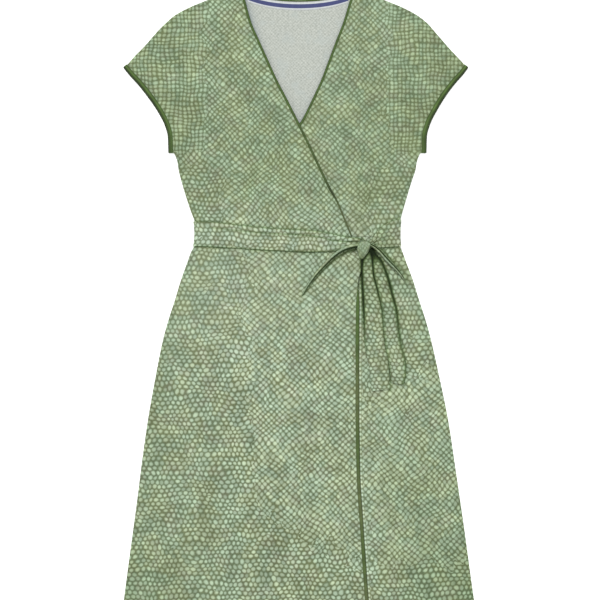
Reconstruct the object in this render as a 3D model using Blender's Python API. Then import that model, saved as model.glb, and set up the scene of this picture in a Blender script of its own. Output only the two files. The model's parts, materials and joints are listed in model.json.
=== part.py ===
"""Wrap dress with cap sleeves and a tie belt, laid flat on its back.

Axes: +X to the right of the laid garment, +Y towards the neck, +Z up, away
from the surface it lies on.  The origin is the middle of the garment's
outline, on that surface.  Every size below is in millimetres; build_mesh
turns them into metres.

The dress is a flattened tube.  From the surface upwards come the back of the
belt, the back panels, the under front, the over front, the front of the belt
and the bow.  Every panel is a wall of cloth, lofted through rows across the
garment; each row is worked out from the outline tables and the layer heights.
"""
import math

import bmesh
import bpy
import numpy as np
from mathutils import Vector

MM = 0.001

# ---------------------------------------------------------------- main sizes
HEM_Y = -526.7          # hem, below the middle of the garment
TOP_Y = 528.5           # neck points of the shoulders
SEAM_Y = 112.0          # waist seam, under the belt
CLOTH = 1.2             # wall of one layer of cloth
GAP = 0.3               # between pieces that meet
BELT = 1.6              # doubled belt cloth
BELT_CLEAR = 0.5        # belt round the side seams
BOUND = 1.7             # bound edge, binding over cloth
NECK_BIND_W = 3.4       # narrow neck bindings
SKIRT_BIND_W = 4.6      # binding down the skirt's free edge
ARM_BIND_W = 9.0        # armhole bindings
ARM_BIND_T = 1.4
TAPE_W = 12.5           # back neck tape
TAPE_T = 1.0
FRONT_Z = CLOTH + GAP           # underside of a front where it meets the back
OVER_STEP = CLOTH + 0.9         # how far the over front is lifted by the under front

# ------------------------------------------------------------ outline tables
# shoulder line, from the neck point to the tip of the cap sleeve
SHOULDER = [  # y, left x, right x
    (528.5, -101.0, 98.0),
    (510.0, -153.0, 142.6),
    (496.0, -186.6, 176.2),
    (483.0, -210.0, 199.8),
    (469.5, -225.3, 216.6),
    (456.0, -238.7, 228.3),
    (442.5, -250.5, 240.1),
    (429.0, -262.5, 251.8),
    (416.0, -275.5, 264.0),
    (402.0, -287.6, 277.0),
]
# outer edge of the armhole binding, from the sleeve tip to the underarm
ARMHOLE = [  # left x, left y, right x, right y
    (-295.0, 395.6, 284.0, 395.6),
    (-285.0, 383.2, 276.0, 384.7),
    (-269.0, 365.5, 264.6, 371.8),
    (-252.7, 344.5, 248.5, 351.0),
    (-236.5, 320.5, 232.3, 325.0),
    (-225.3, 298.0, 219.6, 299.4),
    (-220.6, 280.0, 214.7, 280.0),
    (-219.7, 253.5, 213.9, 253.5),
]
# side seams, from the underarm to the hem
SIDE = [  # y, left x, right x
    (252.0, -209.6, 202.9),
    (238.0, -204.5, 197.7),
    (224.0, -202.4, 195.4),
    (207.0, -198.2, 189.6),
    (174.0, -188.3, 179.6),
    (150.0, -180.0, 172.6),
    (138.0, -175.6, 169.6),
    (117.0, -174.1, 168.3),
    (96.0, -176.2, 169.6),
    (88.0, -180.6, 173.0),
    (70.0, -187.4, 179.6),
    (39.5, -198.4, 191.2),
    (6.0, -208.6, 201.6),
    (-28.0, -219.6, 212.6),
    (-61.0, -228.6, 221.6),
    (-128.0, -242.0, 236.6),
    (-196.0, -254.0, 250.4),
    (-263.0, -263.6, 260.6),
    (-330.0, -272.0, 270.4),
    (-397.0, -281.0, 280.0),
    (-464.0, -290.0, 289.0),
    (-528.5, -298.3, 298.3),
]
# crossing front edges, middle of their bindings; under front mirrors the over
# front below the crossing, where it is hidden
NECK = [  # y, over front x, under front x
    (528.5, -98.5, 95.5),
    (510.0, -93.2, 88.2),
    (472.0, -82.6, 76.4),
    (438.0, -67.8, 63.2),
    (408.0, -54.3, 52.0),
    (375.0, -39.3, 39.4),
    (340.0, -21.2, 23.2),
    (305.0, -3.5, 5.4),
    (277.0, 10.7, -15.8),
    (248.0, 24.4, -30.0),
    (222.0, 36.6, -42.0),
    (191.0, 52.0, -57.0),
    (172.0, 63.0, -68.0),
    (145.0, 74.4, -80.0),
    (112.0, 88.0, -93.0),
]
SKIRT_EDGE = [  # y, over skirt's free edge x, under skirt's hidden edge x
    (112.0, 104.0, -95.0),
    (90.0, 109.0, -96.0),
    (64.7, 108.2, -97.0),
    (48.0, 104.8, -98.0),
    (31.0, 101.1, -99.0),
    (6.0, 98.1, -100.0),
    (-100.0, 97.3, -102.0),
    (-162.0, 97.3, -103.0),
    (-281.0, 99.0, -104.5),
    (-390.0, 105.7, -106.0),
    (-498.0, 113.2, -107.0),
    (-528.5, 115.4, -107.5),
]
# back neckline, outer edge of its binding: middle height and rise to the sides
BACK_NECK_MID_Y = 510.2
BACK_NECK_HALF = 99.0
BACK_COLUMNS = (-1.0, -0.84, -0.64, -0.42, -0.2, 0.0, 0.2, 0.42, 0.64, 0.84, 1.0)

# x across the back neck: shoulder point, nine stations of the binding, shoulder point
NECK_STATIONS = (-105.0, -94.0, -73.0, -49.0, -25.0, -1.5, 22.0, 46.0, 70.0, 91.0, 102.0)

# ------------------------------------------------------------- height tables
LIFT = [  # y, lift of every layer where the back of the belt runs underneath
    (184.0, 0.0), (146.0, BELT + GAP), (88.0, BELT + GAP), (50.0, 0.0),
]
CROWN = [  # y, how far the fronts stand up off the back away from the sides
    (528.5, 0.0), (490.0, 0.8), (425.0, 1.4), (340.0, 1.9), (253.0, 2.2),
    (184.0, 1.8), (146.0, 1.2), (88.0, 1.2), (50.0, 1.6), (0.0, 2.2),
    (-300.0, 2.3), (-528.5, 1.8),
]
CROWN_SHAPE = [  # distance in from the side, share of the crown
    (0.0, 0.0), (8.0, 0.45), (22.0, 0.8), (40.0, 1.0),
]
STEP_SHARE = [  # y, share of the over front's lift over the under front
    (528.5, 0.0), (425.0, 0.35), (340.0, 1.0), (-528.5, 1.0),
]

BODICE_ROWS = [526.0, 510.0, 490.0, 470.0, 448.0, 425.0, 402.0, 380.0, 360.0,
               340.0, 320.0, 300.0, 276.0, 253.0, 230.0, 207.0, 184.0, 165.0,
               146.0, 129.0, SEAM_Y + GAP / 2]
SKIRT_ROWS = [SEAM_Y - GAP / 2, 99.0, 88.0, 68.0, 50.0, 22.0, 0.0, -40.0, -100.0,
              -162.0, -230.0, -300.0, -375.0, -450.0, HEM_Y]

# ------------------------------------------------------------------- the bow
KNOT = dict(x=108.6, y=92.0, long=13.2, short=11.0, turn=55.0,
            bottom=8.8, top=20.4)
LOOP_LEFT = [  # x, y, half width, underside of lower layer, room between layers
    (93.4, 95.6, 2.0, 12.0, 0.8),
    (76.0, 90.2, 3.6, 11.5, 1.6),
    (58.0, 78.6, 4.8, 10.6, 2.4),
    (43.0, 64.0, 4.8, 8.4, 2.4),
    (29.0, 48.6, 4.3, 7.4, 2.0),
    (15.0, 29.4, 3.1, 7.4, 1.2),
    (5.6, 14.4, 1.7, 7.3, 0.5),
]
LOOP_RIGHT = [  # x, y, half width, underside of lower layer, room between layers
    (124.6, 90.2, 2.2, 9.5, 1.2),
    (134.0, 83.6, 3.6, 8.0, 2.0),
    (146.5, 69.5, 4.4, 6.3, 2.2),
    (158.0, 58.4, 4.4, 5.6, 2.0),
    (168.0, 50.0, 3.8, 5.0, 1.6),
    (174.4, 41.0, 2.9, 5.0, 1.0),
    (178.0, 34.6, 1.6, 5.0, 0.5),
]
TAIL_LEFT = [  # y, left x, right x, underside, height of its soft fold
    (77.2, 109.5, 121.2, 10.2, 1.6),
    (70.0, 105.6, 122.2, 8.8, 2.0),
    (48.0, 105.0, 124.2, 7.9, 2.2),
    (31.0, 105.7, 128.6, 7.7, 2.2),
    (12.0, 106.8, 133.4, 6.6, 2.0),
    (-10.0, 107.8, 138.4, 5.4, 1.8),
    (-51.0, 108.6, 141.5, 5.4, 1.6),
    (-76.0, 110.8, 144.8, 5.4, 1.5),
    (-98.0, 115.6, 149.5, 5.4, 1.3),
    (-125.0, 119.8, 151.6, 5.4, 0.9),
    (-145.0, 121.5, 152.2, 5.4, 0.5),
]
TAIL_RIGHT = [  # y, left x, right x, underside, height of its soft fold
    (77.2, 121.8, 133.6, 9.6, 1.4),
    (70.0, 122.8, 138.4, 8.2, 1.8),
    (48.0, 124.8, 147.4, 6.4, 2.0),
    (31.0, 129.2, 152.2, 5.8, 2.0),
    (12.0, 134.0, 157.0, 5.4, 1.9),
    (-10.0, 139.0, 163.0, 5.4, 1.8),
    (-51.0, 142.1, 167.6, 5.4, 1.7),
    (-76.0, 145.4, 172.4, 5.4, 1.5),
    (-98.0, 150.1, 178.6, 5.4, 1.3),
    (-118.0, 152.1, 179.2, 5.4, 1.0),
    (-134.0, 152.5, 174.6, 5.4, 0.6),
]
BELT_LEFT = [  # inset from the side, low y, high y, underside, height of pleats
    (0.0, 95.6, 138.0, 1.9, 0.0),
    (0.0, 95.6, 138.0, 4.7, 0.0),
    (1.6, 95.6, 138.0, 5.5, 0.0),
    (14.0, 95.4, 137.4, 6.1, 0.1),
    (30.0, 94.6, 136.4, 6.5, 0.2),
    (48.0, 93.4, 134.6, 7.2, 0.3),
    (75.0, 91.8, 131.6, 8.7, 0.4),
    (128.0, 88.6, 126.0, 8.7, 0.7),
    (193.0, 86.2, 122.4, 8.7, 1.1),
    (220.0, 86.4, 119.0, 8.7, 1.5),
    (240.0, 88.2, 114.6, 8.7, 1.9),
    (257.0, 91.2, 111.4, 8.7, 2.2),
    (270.4, 94.4, 109.4, 8.7, 2.2),
]
BELT_RIGHT = [  # inset from the side, low y, high y, underside, height of pleats
    (0.0, 95.6, 141.0, 1.9, 0.0),
    (0.0, 95.6, 141.0, 4.7, 0.0),
    (1.6, 95.6, 141.0, 5.6, 0.2),
    (8.0, 95.2, 139.6, 5.9, 0.5),
    (18.0, 94.4, 136.0, 6.2, 1.0),
    (28.0, 93.8, 130.0, 6.4, 1.6),
    (38.0, 93.4, 120.0, 7.6, 2.0),
    (46.8, 93.4, 107.4, 8.7, 2.2),
]


# ------------------------------------------------------------------- helpers
def smooth_curve(xs, ys):
    """Monotone cubic through the table's points; returns a function."""
    order = np.argsort(xs)
    x = np.asarray(xs, float)[order]
    y = np.asarray(ys, float)[order]
    h = np.diff(x)
    d = np.diff(y) / h
    m = np.zeros(len(x))
    m[0], m[-1] = d[0], d[-1]
    for k in range(1, len(x) - 1):
        if d[k - 1] * d[k] > 0:
            w1, w2 = 2 * h[k] + h[k - 1], h[k] + 2 * h[k - 1]
            m[k] = (w1 + w2) / (w1 / d[k - 1] + w2 / d[k])

    def value(v):
        v = min(max(v, x[0]), x[-1])
        k = min(max(int(np.searchsorted(x, v)) - 1, 0), len(x) - 2)
        s = (v - x[k]) / h[k]
        return float(y[k] * (1 + 2 * s) * (1 - s) ** 2 + m[k] * h[k] * s * (1 - s) ** 2
                     + y[k + 1] * s * s * (3 - 2 * s) + m[k + 1] * h[k] * s * s * (s - 1))
    return value


def line_curve(table, column=1):
    rows = sorted((r[0], r[column]) for r in table)
    xs, ys = [r[0] for r in rows], [r[1] for r in rows]
    return lambda v: float(np.interp(v, xs, ys))


def column(table, k):
    return [row[k] for row in table]


def dense_path(points, step=3.0):
    """Smooth path through the points, resampled closely."""
    p = [Vector(q) for q in points]
    along = [0.0]
    for a, b in zip(p, p[1:]):
        along.append(along[-1] + (b - a).length)
    fx = smooth_curve(along, [q.x for q in p])
    fy = smooth_curve(along, [q.y for q in p])
    n = max(int(along[-1] / step), 2)
    return [Vector((fx(along[-1] * k / n), fy(along[-1] * k / n))) for k in range(n + 1)]


def offset_path(path, distance):
    """Path moved sideways; positive is to the right of its direction."""
    out = []
    for k, q in enumerate(path):
        t = (path[min(k + 1, len(path) - 1)] - path[max(k - 1, 0)]).normalized()
        out.append(q + Vector((t.y, -t.x)) * distance)
    return out


lift = line_curve(LIFT)
crown = line_curve(CROWN)
crown_shape = line_curve(CROWN_SHAPE)
step_share = line_curve(STEP_SHARE)
neck_over = smooth_curve(column(NECK, 0), column(NECK, 1))
neck_under = smooth_curve(column(NECK, 0), column(NECK, 2))
skirt_over = smooth_curve(column(SKIRT_EDGE, 0), column(SKIRT_EDGE, 1))
skirt_under = smooth_curve(column(SKIRT_EDGE, 0), column(SKIRT_EDGE, 2))

ARM_PATH = {
    -1: dense_path([(r[0], r[1]) for r in ARMHOLE]),
    1: dense_path([(r[2], r[3]) for r in ARMHOLE]),
}


def armhole_inner(side):
    """x of the binding's inner edge at height y."""
    inner = offset_path(ARM_PATH[side], side * ARM_BIND_W)
    inner.sort(key=lambda q: q.y)
    ys, xs = [q.y for q in inner], [q.x for q in inner]
    return lambda y: float(np.interp(y, ys, xs))


shoulder = {-1: smooth_curve(column(SHOULDER, 0), column(SHOULDER, 1)),
            1: smooth_curve(column(SHOULDER, 0), column(SHOULDER, 2))}
bound_inner = {-1: armhole_inner(-1), 1: armhole_inner(1)}
side_seam = {-1: smooth_curve(column(SIDE, 0), column(SIDE, 1)),
             1: smooth_curve(column(SIDE, 0), column(SIDE, 2))}


def edge(side, y):
    """Outer edge of the cloth at height y; side is -1 left, 1 right."""
    if y >= 401.5:
        return shoulder[side](y)
    if y >= 252.5:
        return bound_inner[side](y) - side * (GAP + 0.05) * slope_scale(bound_inner[side], y)
    return side_seam[side](y)


def waist_edge(side, y):
    """Side of the built panels where the belt goes round them."""
    rows = [88.0, 99.0, SEAM_Y, 129.0, 146.0]
    return float(np.interp(y, rows, [edge(side, r) for r in rows]))


def slope_scale(f, y):
    """Lengthening of a sideways offset on an edge that leans."""
    d = (f(y + 1.0) - f(y - 1.0)) / 2.0
    return math.sqrt(1.0 + d * d)


def back_neck(x):
    """Outer edge of the back neck binding."""
    u = x / BACK_NECK_HALF
    return BACK_NECK_MID_Y + (TOP_Y - BACK_NECK_MID_Y) * (0.75 * u ** 2 + 0.25 * u ** 4)


def crown_at(x, y):
    inside = max(min(x - edge(-1, y), edge(1, y) - x), 0.0)
    return crown(y) * crown_shape(inside)


def material(name, colour, roughness, sheen=0.0):
    m = bpy.data.materials.new(name)
    m.use_nodes = True
    b = m.node_tree.nodes["Principled BSDF"]
    b.inputs["Base Color"].default_value = (*colour, 1.0)
    b.inputs["Roughness"].default_value = roughness
    b.inputs["Metallic"].default_value = 0.0
    b.inputs["Sheen Weight"].default_value = sheen
    return m


def build_mesh(name, verts, faces, mat):
    mesh = bpy.data.meshes.new(name)
    mesh.from_pydata([tuple(c * MM for c in v) for v in verts], [], faces)
    bm = bmesh.new()
    bm.from_mesh(mesh)
    bmesh.ops.triangulate(bm, faces=bm.faces[:], quad_method='FIXED')
    bmesh.ops.recalc_face_normals(bm, faces=bm.faces[:])
    bm.to_mesh(mesh)
    bm.free()
    mesh.materials.append(mat)
    obj = bpy.data.objects.new(name, mesh)
    bpy.context.scene.collection.objects.link(obj)
    return obj


def cloth_wall(name, grid, thick, mat):
    """Closed wall from a grid of underside points; grid[row][col] = (x, y, z)."""
    n, m = len(grid), len(grid[0])
    low = [p for row in grid for p in row]
    high = [(x, y, z + thick) for x, y, z in low]
    at = lambda i, j: i * m + j
    top = n * m
    faces = []
    for i in range(n - 1):
        for j in range(m - 1):
            q = (at(i, j), at(i + 1, j), at(i + 1, j + 1), at(i, j + 1))
            faces.append(q)
            faces.append(tuple(top + k for k in reversed(q)))
    ring = ([at(0, j) for j in range(m)] + [at(i, m - 1) for i in range(1, n)]
            + [at(n - 1, j) for j in range(m - 2, -1, -1)]
            + [at(i, 0) for i in range(n - 2, 0, -1)])
    for a, b in zip(ring, ring[1:] + ring[:1]):
        faces.append((a, b, top + b, top + a))
    return build_mesh(name, low + high, faces, mat)


def ring_loft(name, rings, mat, closed=False):
    """Loft through rings of four points each."""
    verts = [p for ring in rings for p in ring]
    faces = []
    last = len(rings) if closed else len(rings) - 1
    for i in range(last):
        a, b = 4 * i, 4 * ((i + 1) % len(rings))
        for k in range(4):
            faces.append((a + k, a + (k + 1) % 4, b + (k + 1) % 4, b + k))
    if not closed:
        faces.append((0, 1, 2, 3))
        e = 4 * (len(rings) - 1)
        faces.append((e + 3, e + 2, e + 1, e))
    return build_mesh(name, verts, faces, mat)


# -------------------------------------------------------------------- panels
def back_bodice(mat):
    dips = {510.0: 15.0, 490.0: 11.0, 470.0: 6.0, 448.0: 2.0}
    grid = []
    for y in BODICE_ROWS:
        left, right = edge(-1, y), edge(1, y)
        row = []
        for u in BACK_COLUMNS:
            if y == BODICE_ROWS[0]:
                x = NECK_STATIONS[BACK_COLUMNS.index(u)]
                row.append((x, min(back_neck(x) - NECK_BIND_W - GAP, y), 0.0))
            else:
                x = left + (right - left) * (u + 1.0) / 2.0
                row.append((x, y - dips.get(y, 0.0) * (1.0 - u * u), lift(y)))
        grid.append(row)
    return cloth_wall("back_bodice", grid, CLOTH, mat)


def back_skirt(mat):
    grid = []
    for y in SKIRT_ROWS:
        left, right = edge(-1, y), edge(1, y)
        grid.append([(left + (right - left) * (u + 1.0) / 2.0, y, lift(y))
                     for u in (-1.0, -0.6, -0.2, 0.2, 0.6, 1.0)])
    return cloth_wall("back_skirt", grid, CLOTH, mat)


def over_height(x, y, hidden, free):
    """Underside of the over front: crown, and the step over the under front."""
    start, end = step_columns(hidden, free)
    share = min(max((x - start) / (end - start), 0.0), 1.0)
    return (FRONT_Z + lift(y) + crown_at(x, y) + OVER_STEP * step_share(y) * share)


def step_columns(hidden, free):
    end = min(hidden - 8.0, free - 8.0)
    return end - 26.0, end


def over_columns(y, left, hidden, free):
    start, end = step_columns(hidden, free)
    if y > 350.0:
        width = free - left
        return [left + width * f for f in (0, 0.04, 0.10, 0.19, 0.60, 0.80, 0.87, 0.93, 1)]
    return [left, left + 8.0, left + 22.0, left + 40.0, start, end,
            end + (free - end) / 3.0, end + (free - end) / 1.5, free]


def over_panel(name, rows, free_edge, hidden_edge, bind_width, mat):
    grid = []
    for y in rows:
        left = edge(-1, y)
        free = free_edge(y) - (bind_width / 2 + GAP) * slope_scale(free_edge, y)
        hidden = hidden_edge(y)
        grid.append([(x, y, over_height(x, y, hidden, free))
                     for x in over_columns(y, left, hidden, free)])
    return cloth_wall(name, grid, CLOTH, mat)


def under_panel(name, rows, hidden_edge, bind_width, mat):
    grid = []
    for y in rows:
        right = edge(1, y)
        inner = hidden_edge(y) + (bind_width / 2 + GAP) * slope_scale(hidden_edge, y)
        if y > 350.0:
            width = right - inner
            xs = [inner + width * f for f in (0, 0.2, 0.5, 0.81, 0.90, 0.96, 1)]
        else:
            wide = right - 40.0 - inner
            xs = [inner, inner + wide / 3, inner + wide / 1.5,
                  right - 40.0, right - 22.0, right - 8.0, right]
        grid.append([(x, y, FRONT_Z + lift(y) + crown_at(x, y)) for x in xs])
    return cloth_wall(name, grid, CLOTH, mat)


# ------------------------------------------------------------------ bindings
def edge_binding(name, rows, path, width, height, mat):
    """Straight-walled band along an edge that runs down the garment."""
    rings = []
    for y in rows:
        d = (path(y + 1.0) - path(y - 1.0)) / 2.0
        across = Vector((1.0, -d)).normalized() * (width / 2)
        x, z = path(y), height(path(y), y)
        rings.append([(x - across.x, y - across.y, z), (x + across.x, y + across.y, z),
                      (x + across.x, y + across.y, z + BOUND),
                      (x - across.x, y - across.y, z + BOUND)])
    return ring_loft(name, rings, mat)


def curve_band(name, lower, upper, z, thick, mat):
    """Band between two curves of points, laid level."""
    rings = [[(a[0], a[1], z), (b[0], b[1], z), (b[0], b[1], z + thick), (a[0], a[1], z + thick)]
             for a, b in zip(lower, upper)]
    return ring_loft(name, rings, mat)


def armhole_band(name, side, mat):
    """Closed band round the armhole, pressed flat: front, underarm, back, tip."""
    stations = [401.0] + [y for y in BODICE_ROWS if 253.0 <= y < 401.0]
    inner, path = [], []
    for y in stations:
        f = bound_inner[side]
        lean = (f(y + 2.0) - f(y - 2.0)) / 4.0
        outward = Vector((side, -side * lean)).normalized()
        inner.append(Vector((f(y), y)))
        path.append(Vector((f(y), y)) + outward * ARM_BIND_W)
    low, high = ARM_BIND_T / 2, ARM_BIND_T * 1.5 + GAP     # middles of the two layers
    half, turn = ARM_BIND_T / 2, GAP / 2
    rings = []

    def flat(k, z, flip):
        a, b = path[k], inner[k]
        up, down = (z - half, z + half) if flip else (z + half, z - half)
        # outside of the flattened loop first
        rings.append([(a.x, a.y, up), (b.x, b.y, up), (b.x, b.y, down), (a.x, a.y, down)])

    def end(k, direction):
        a, b = path[k], inner[k]
        z = (low + high) / 2
        far, near = direction * (turn + ARM_BIND_T), direction * turn
        rings.append([(a.x + far.x, a.y + far.y, z), (b.x + far.x, b.y + far.y, z),
                      (b.x + near.x, b.y + near.y, z), (a.x + near.x, a.y + near.y, z)])

    for k in range(len(path)):
        flat(k, high, False)
    end(len(path) - 1, (path[-1] - path[-2]).normalized())
    for k in reversed(range(len(path))):
        flat(k, low, True)
    end(0, (path[0] - path[1]).normalized())
    return ring_loft(name, rings, mat, closed=True)


# --------------------------------------------------------------- belt and bow
def belt_stretch(name, table, side, mat):
    """Front stretch of the belt, from the side towards the knot."""
    shares = (0.0, 0.17, 0.34, 0.5, 0.66, 0.83, 1.0)
    pleat = (0.0, 0.25, 1.0, 0.2, 1.0, 0.2, 0.0)
    low, high = [], []
    previous = None
    rows = []
    for k, (inset, y0, y1, z, fold) in enumerate(table):
        follow = min(max((60.0 - inset) / 50.0, 0.0), 1.0)
        inner, outer = [], []
        for u, p in zip(shares, pleat):
            y = y0 + (y1 - y0) * u
            edge_x = follow * waist_edge(side, y) + (1.0 - follow) * edge(side, 117.0)
            x = edge_x + side * (BELT_CLEAR - inset)
            inner.append((x, y, z + fold * p))
            if k == 0:
                outer.append((x + side * BELT, y, z))
            elif k == 1:
                outer.append((x + side * BELT, y, z + 0.6))
            elif k == 2:
                outer.append((x + side * BELT * 0.45, y, z + fold * p + BELT))
            else:
                outer.append((x, y, z + fold * p + BELT))
        low.append(inner)
        high.append(outer)
    n, m = len(low), len(shares)
    verts = [p for row in low for p in row] + [p for row in high for p in row]
    at = lambda i, j: i * m + j
    top = n * m
    faces = []
    for i in range(n - 1):
        for j in range(m - 1):
            q = (at(i, j), at(i + 1, j), at(i + 1, j + 1), at(i, j + 1))
            faces.append(q)
            faces.append(tuple(top + k for k in reversed(q)))
    ring = ([at(0, j) for j in range(m)] + [at(i, m - 1) for i in range(1, n)]
            + [at(n - 1, j) for j in range(m - 2, -1, -1)]
            + [at(i, 0) for i in range(n - 2, 0, -1)])
    for a, b in zip(ring, ring[1:] + ring[:1]):
        faces.append((a, b, top + b, top + a))
    return build_mesh(name, verts, faces, mat)


def belt_behind(mat):
    """Back stretch of the belt, flat on the surface under the back panels."""
    low_y, left_top, right_top = 95.6, 138.0, 141.0
    grid = []
    for u in (0.0, 0.25, 0.5, 0.75, 1.0):
        row = []
        for v in (0.0, 0.25, 0.5, 0.75, 1.0):
            y = low_y + v * (left_top + (right_top - left_top) * u - low_y)
            left = waist_edge(-1, y) - BELT_CLEAR - BELT
            right = waist_edge(1, y) + BELT_CLEAR + BELT
            row.append((left + (right - left) * u, y, 0.0))
        grid.append(row)
    return cloth_wall("belt_back", grid, BELT, mat)


def tail(name, table, mat):
    shares = (0.0, 0.22, 0.5, 0.78, 1.0)
    arch = (0.0, 0.75, 1.0, 0.75, 0.0)
    grid = [[(x0 + (x1 - x0) * u, y, z + fold * a) for u, a in zip(shares, arch)]
            for y, x0, x1, z, fold in table]
    return cloth_wall(name, grid, CLOTH, mat)


def loop(name, table, mat):
    """Strip that runs out from the knot, turns at its tip and runs back on top."""
    points = [Vector((r[0], r[1])) for r in table]
    rings_low, rings_high = [], []
    for k, (x, y, half, z, room) in enumerate(table):
        t = (points[min(k + 1, len(points) - 1)] - points[max(k - 1, 0)]).normalized()
        a = Vector((-t.y, t.x)) * half
        z2 = z + CLOTH + GAP + room
        rings_low.append([(x - a.x, y - a.y, z), (x + a.x, y + a.y, z),
                          (x + a.x, y + a.y, z + CLOTH), (x - a.x, y - a.y, z + CLOTH)])
        rings_high.append([(x - a.x, y - a.y, z2 + CLOTH), (x + a.x, y + a.y, z2 + CLOTH),
                           (x + a.x, y + a.y, z2), (x - a.x, y - a.y, z2)])
    x, y, half, z, room = table[-1]
    t = (points[-1] - points[-2]).normalized()
    a = Vector((-t.y, t.x)) * half * 0.8
    mid = z + CLOTH + (GAP + room) / 2
    far, near = t * (CLOTH + 0.2), t * 0.2
    turn = [(x + far.x - a.x, y + far.y - a.y, mid), (x + far.x + a.x, y + far.y + a.y, mid),
            (x + near.x + a.x, y + near.y + a.y, mid), (x + near.x - a.x, y + near.y - a.y, mid)]
    return ring_loft(name, rings_low + [turn] + rings_high[::-1], mat)


def knot(mat):
    """Tight wrap of the belt, a soft pad that leans with the belt's last turn."""
    segments, k = 16, KNOT
    turn = math.radians(k["turn"])
    middle, half = (k["bottom"] + k["top"]) / 2, (k["top"] - k["bottom"]) / 2
    rings = []
    for level in (-1.0, -0.82, -0.4, 0.0, 0.4, 0.75, 1.0):
        share = (1.0 - min(abs(level), 0.93) ** 3.0) ** (1 / 2.4)
        ring = []
        for s in range(segments):
            a = 2 * math.pi * s / segments
            u, v = k["long"] * share * math.cos(a), k["short"] * share * math.sin(a)
            ring.append((k["x"] + u * math.cos(turn) - v * math.sin(turn),
                         k["y"] + u * math.sin(turn) + v * math.cos(turn),
                         middle + half * level))
        rings.append(ring)
    verts = [p for ring in rings for p in ring]
    faces = [tuple(range(segments))[::-1],
             tuple(range((len(rings) - 1) * segments, len(rings) * segments))]
    for i in range(len(rings) - 1):
        for s in range(segments):
            t = (s + 1) % segments
            faces.append((i * segments + s, i * segments + t,
                          (i + 1) * segments + t, (i + 1) * segments + s))
    obj = build_mesh("belt_knot", verts, faces, mat)
    obj.data.shade_smooth()
    obj.data.set_sharp_from_angle(angle=math.radians(40))
    return obj


# ---------------------------------------------------------------------- main
def main():
    for obj in list(bpy.data.objects):
        bpy.data.objects.remove(obj, do_unlink=True)

    printed = lambda name: material(name, (0.30, 0.38, 0.24), 0.85, 0.2)
    green = lambda name: material(name, (0.07, 0.12, 0.035), 0.8, 0.1)

    back_bodice(printed("back_bodice_cloth"))
    back_skirt(printed("back_skirt_cloth"))
    under_panel("front_under_bodice", BODICE_ROWS, neck_under, NECK_BIND_W,
                printed("under_bodice_cloth"))
    under_panel("front_under_skirt", SKIRT_ROWS, skirt_under, 0.0,
                printed("under_skirt_cloth"))
    over_panel("front_over_bodice", BODICE_ROWS, neck_over, neck_under, NECK_BIND_W,
               printed("over_bodice_cloth"))
    over_panel("front_over_skirt", SKIRT_ROWS, skirt_over, skirt_under, SKIRT_BIND_W,
               printed("over_skirt_cloth"))

    for side, word in ((-1, "left"), (1, "right")):
        armhole_band("armhole_binding_" + word, side, green("binding_" + word))

    def over_edge_height(edge_of, hidden_of):
        return lambda x, y: over_height(x, y, hidden_of(y), edge_of(y) - 3.0)
    neck_rows = BODICE_ROWS[:-1] + [SEAM_Y + 2.0]
    edge_binding("neck_binding_over", neck_rows, neck_over, NECK_BIND_W,
                 over_edge_height(neck_over, neck_under), green("neck_binding_over"))
    edge_binding("neck_binding_under", neck_rows, neck_under, NECK_BIND_W,
                 lambda x, y: FRONT_Z + lift(y) + crown_at(x, y), green("neck_binding_under"))
    edge_binding("skirt_edge_binding", SKIRT_ROWS, skirt_over, SKIRT_BIND_W,
                 over_edge_height(skirt_over, skirt_under), green("skirt_edge_binding"))

    xs = NECK_STATIONS[1:-1]
    curve_band("neck_binding_back",
               [(x, back_neck(x) - NECK_BIND_W) for x in xs], [(x, back_neck(x)) for x in xs],
               0.0, BOUND, green("neck_binding_back"))
    drop = NECK_BIND_W + GAP + 0.8
    lower = [(x, back_neck(x) - drop - TAPE_W) for x in np.linspace(-87.5, 82.5, 13)]
    upper = [(x, back_neck(x) - drop) for x in np.linspace(-91.5, 86.5, 13)]
    curve_band("neck_tape", lower, upper, CLOTH + GAP, TAPE_T,
               material("tape", (0.10, 0.11, 0.25), 0.8))

    belt_behind(printed("belt_back_cloth"))
    belt_stretch("belt_front_left", BELT_LEFT, -1, printed("belt_left_cloth"))
    belt_stretch("belt_front_right", BELT_RIGHT, 1, printed("belt_right_cloth"))
    knot(printed("knot_cloth"))
    loop("belt_loop_left", LOOP_LEFT, printed("loop_left_cloth"))
    loop("belt_loop_right", LOOP_RIGHT, printed("loop_right_cloth"))
    tail("belt_tail_left", TAIL_LEFT, printed("tail_left_cloth"))
    tail("belt_tail_right", TAIL_RIGHT, printed("tail_right_cloth"))


main()
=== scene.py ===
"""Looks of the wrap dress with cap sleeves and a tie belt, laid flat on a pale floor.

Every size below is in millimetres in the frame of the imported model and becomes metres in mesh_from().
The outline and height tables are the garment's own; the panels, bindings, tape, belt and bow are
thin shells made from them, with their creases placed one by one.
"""
import json
import math

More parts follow.
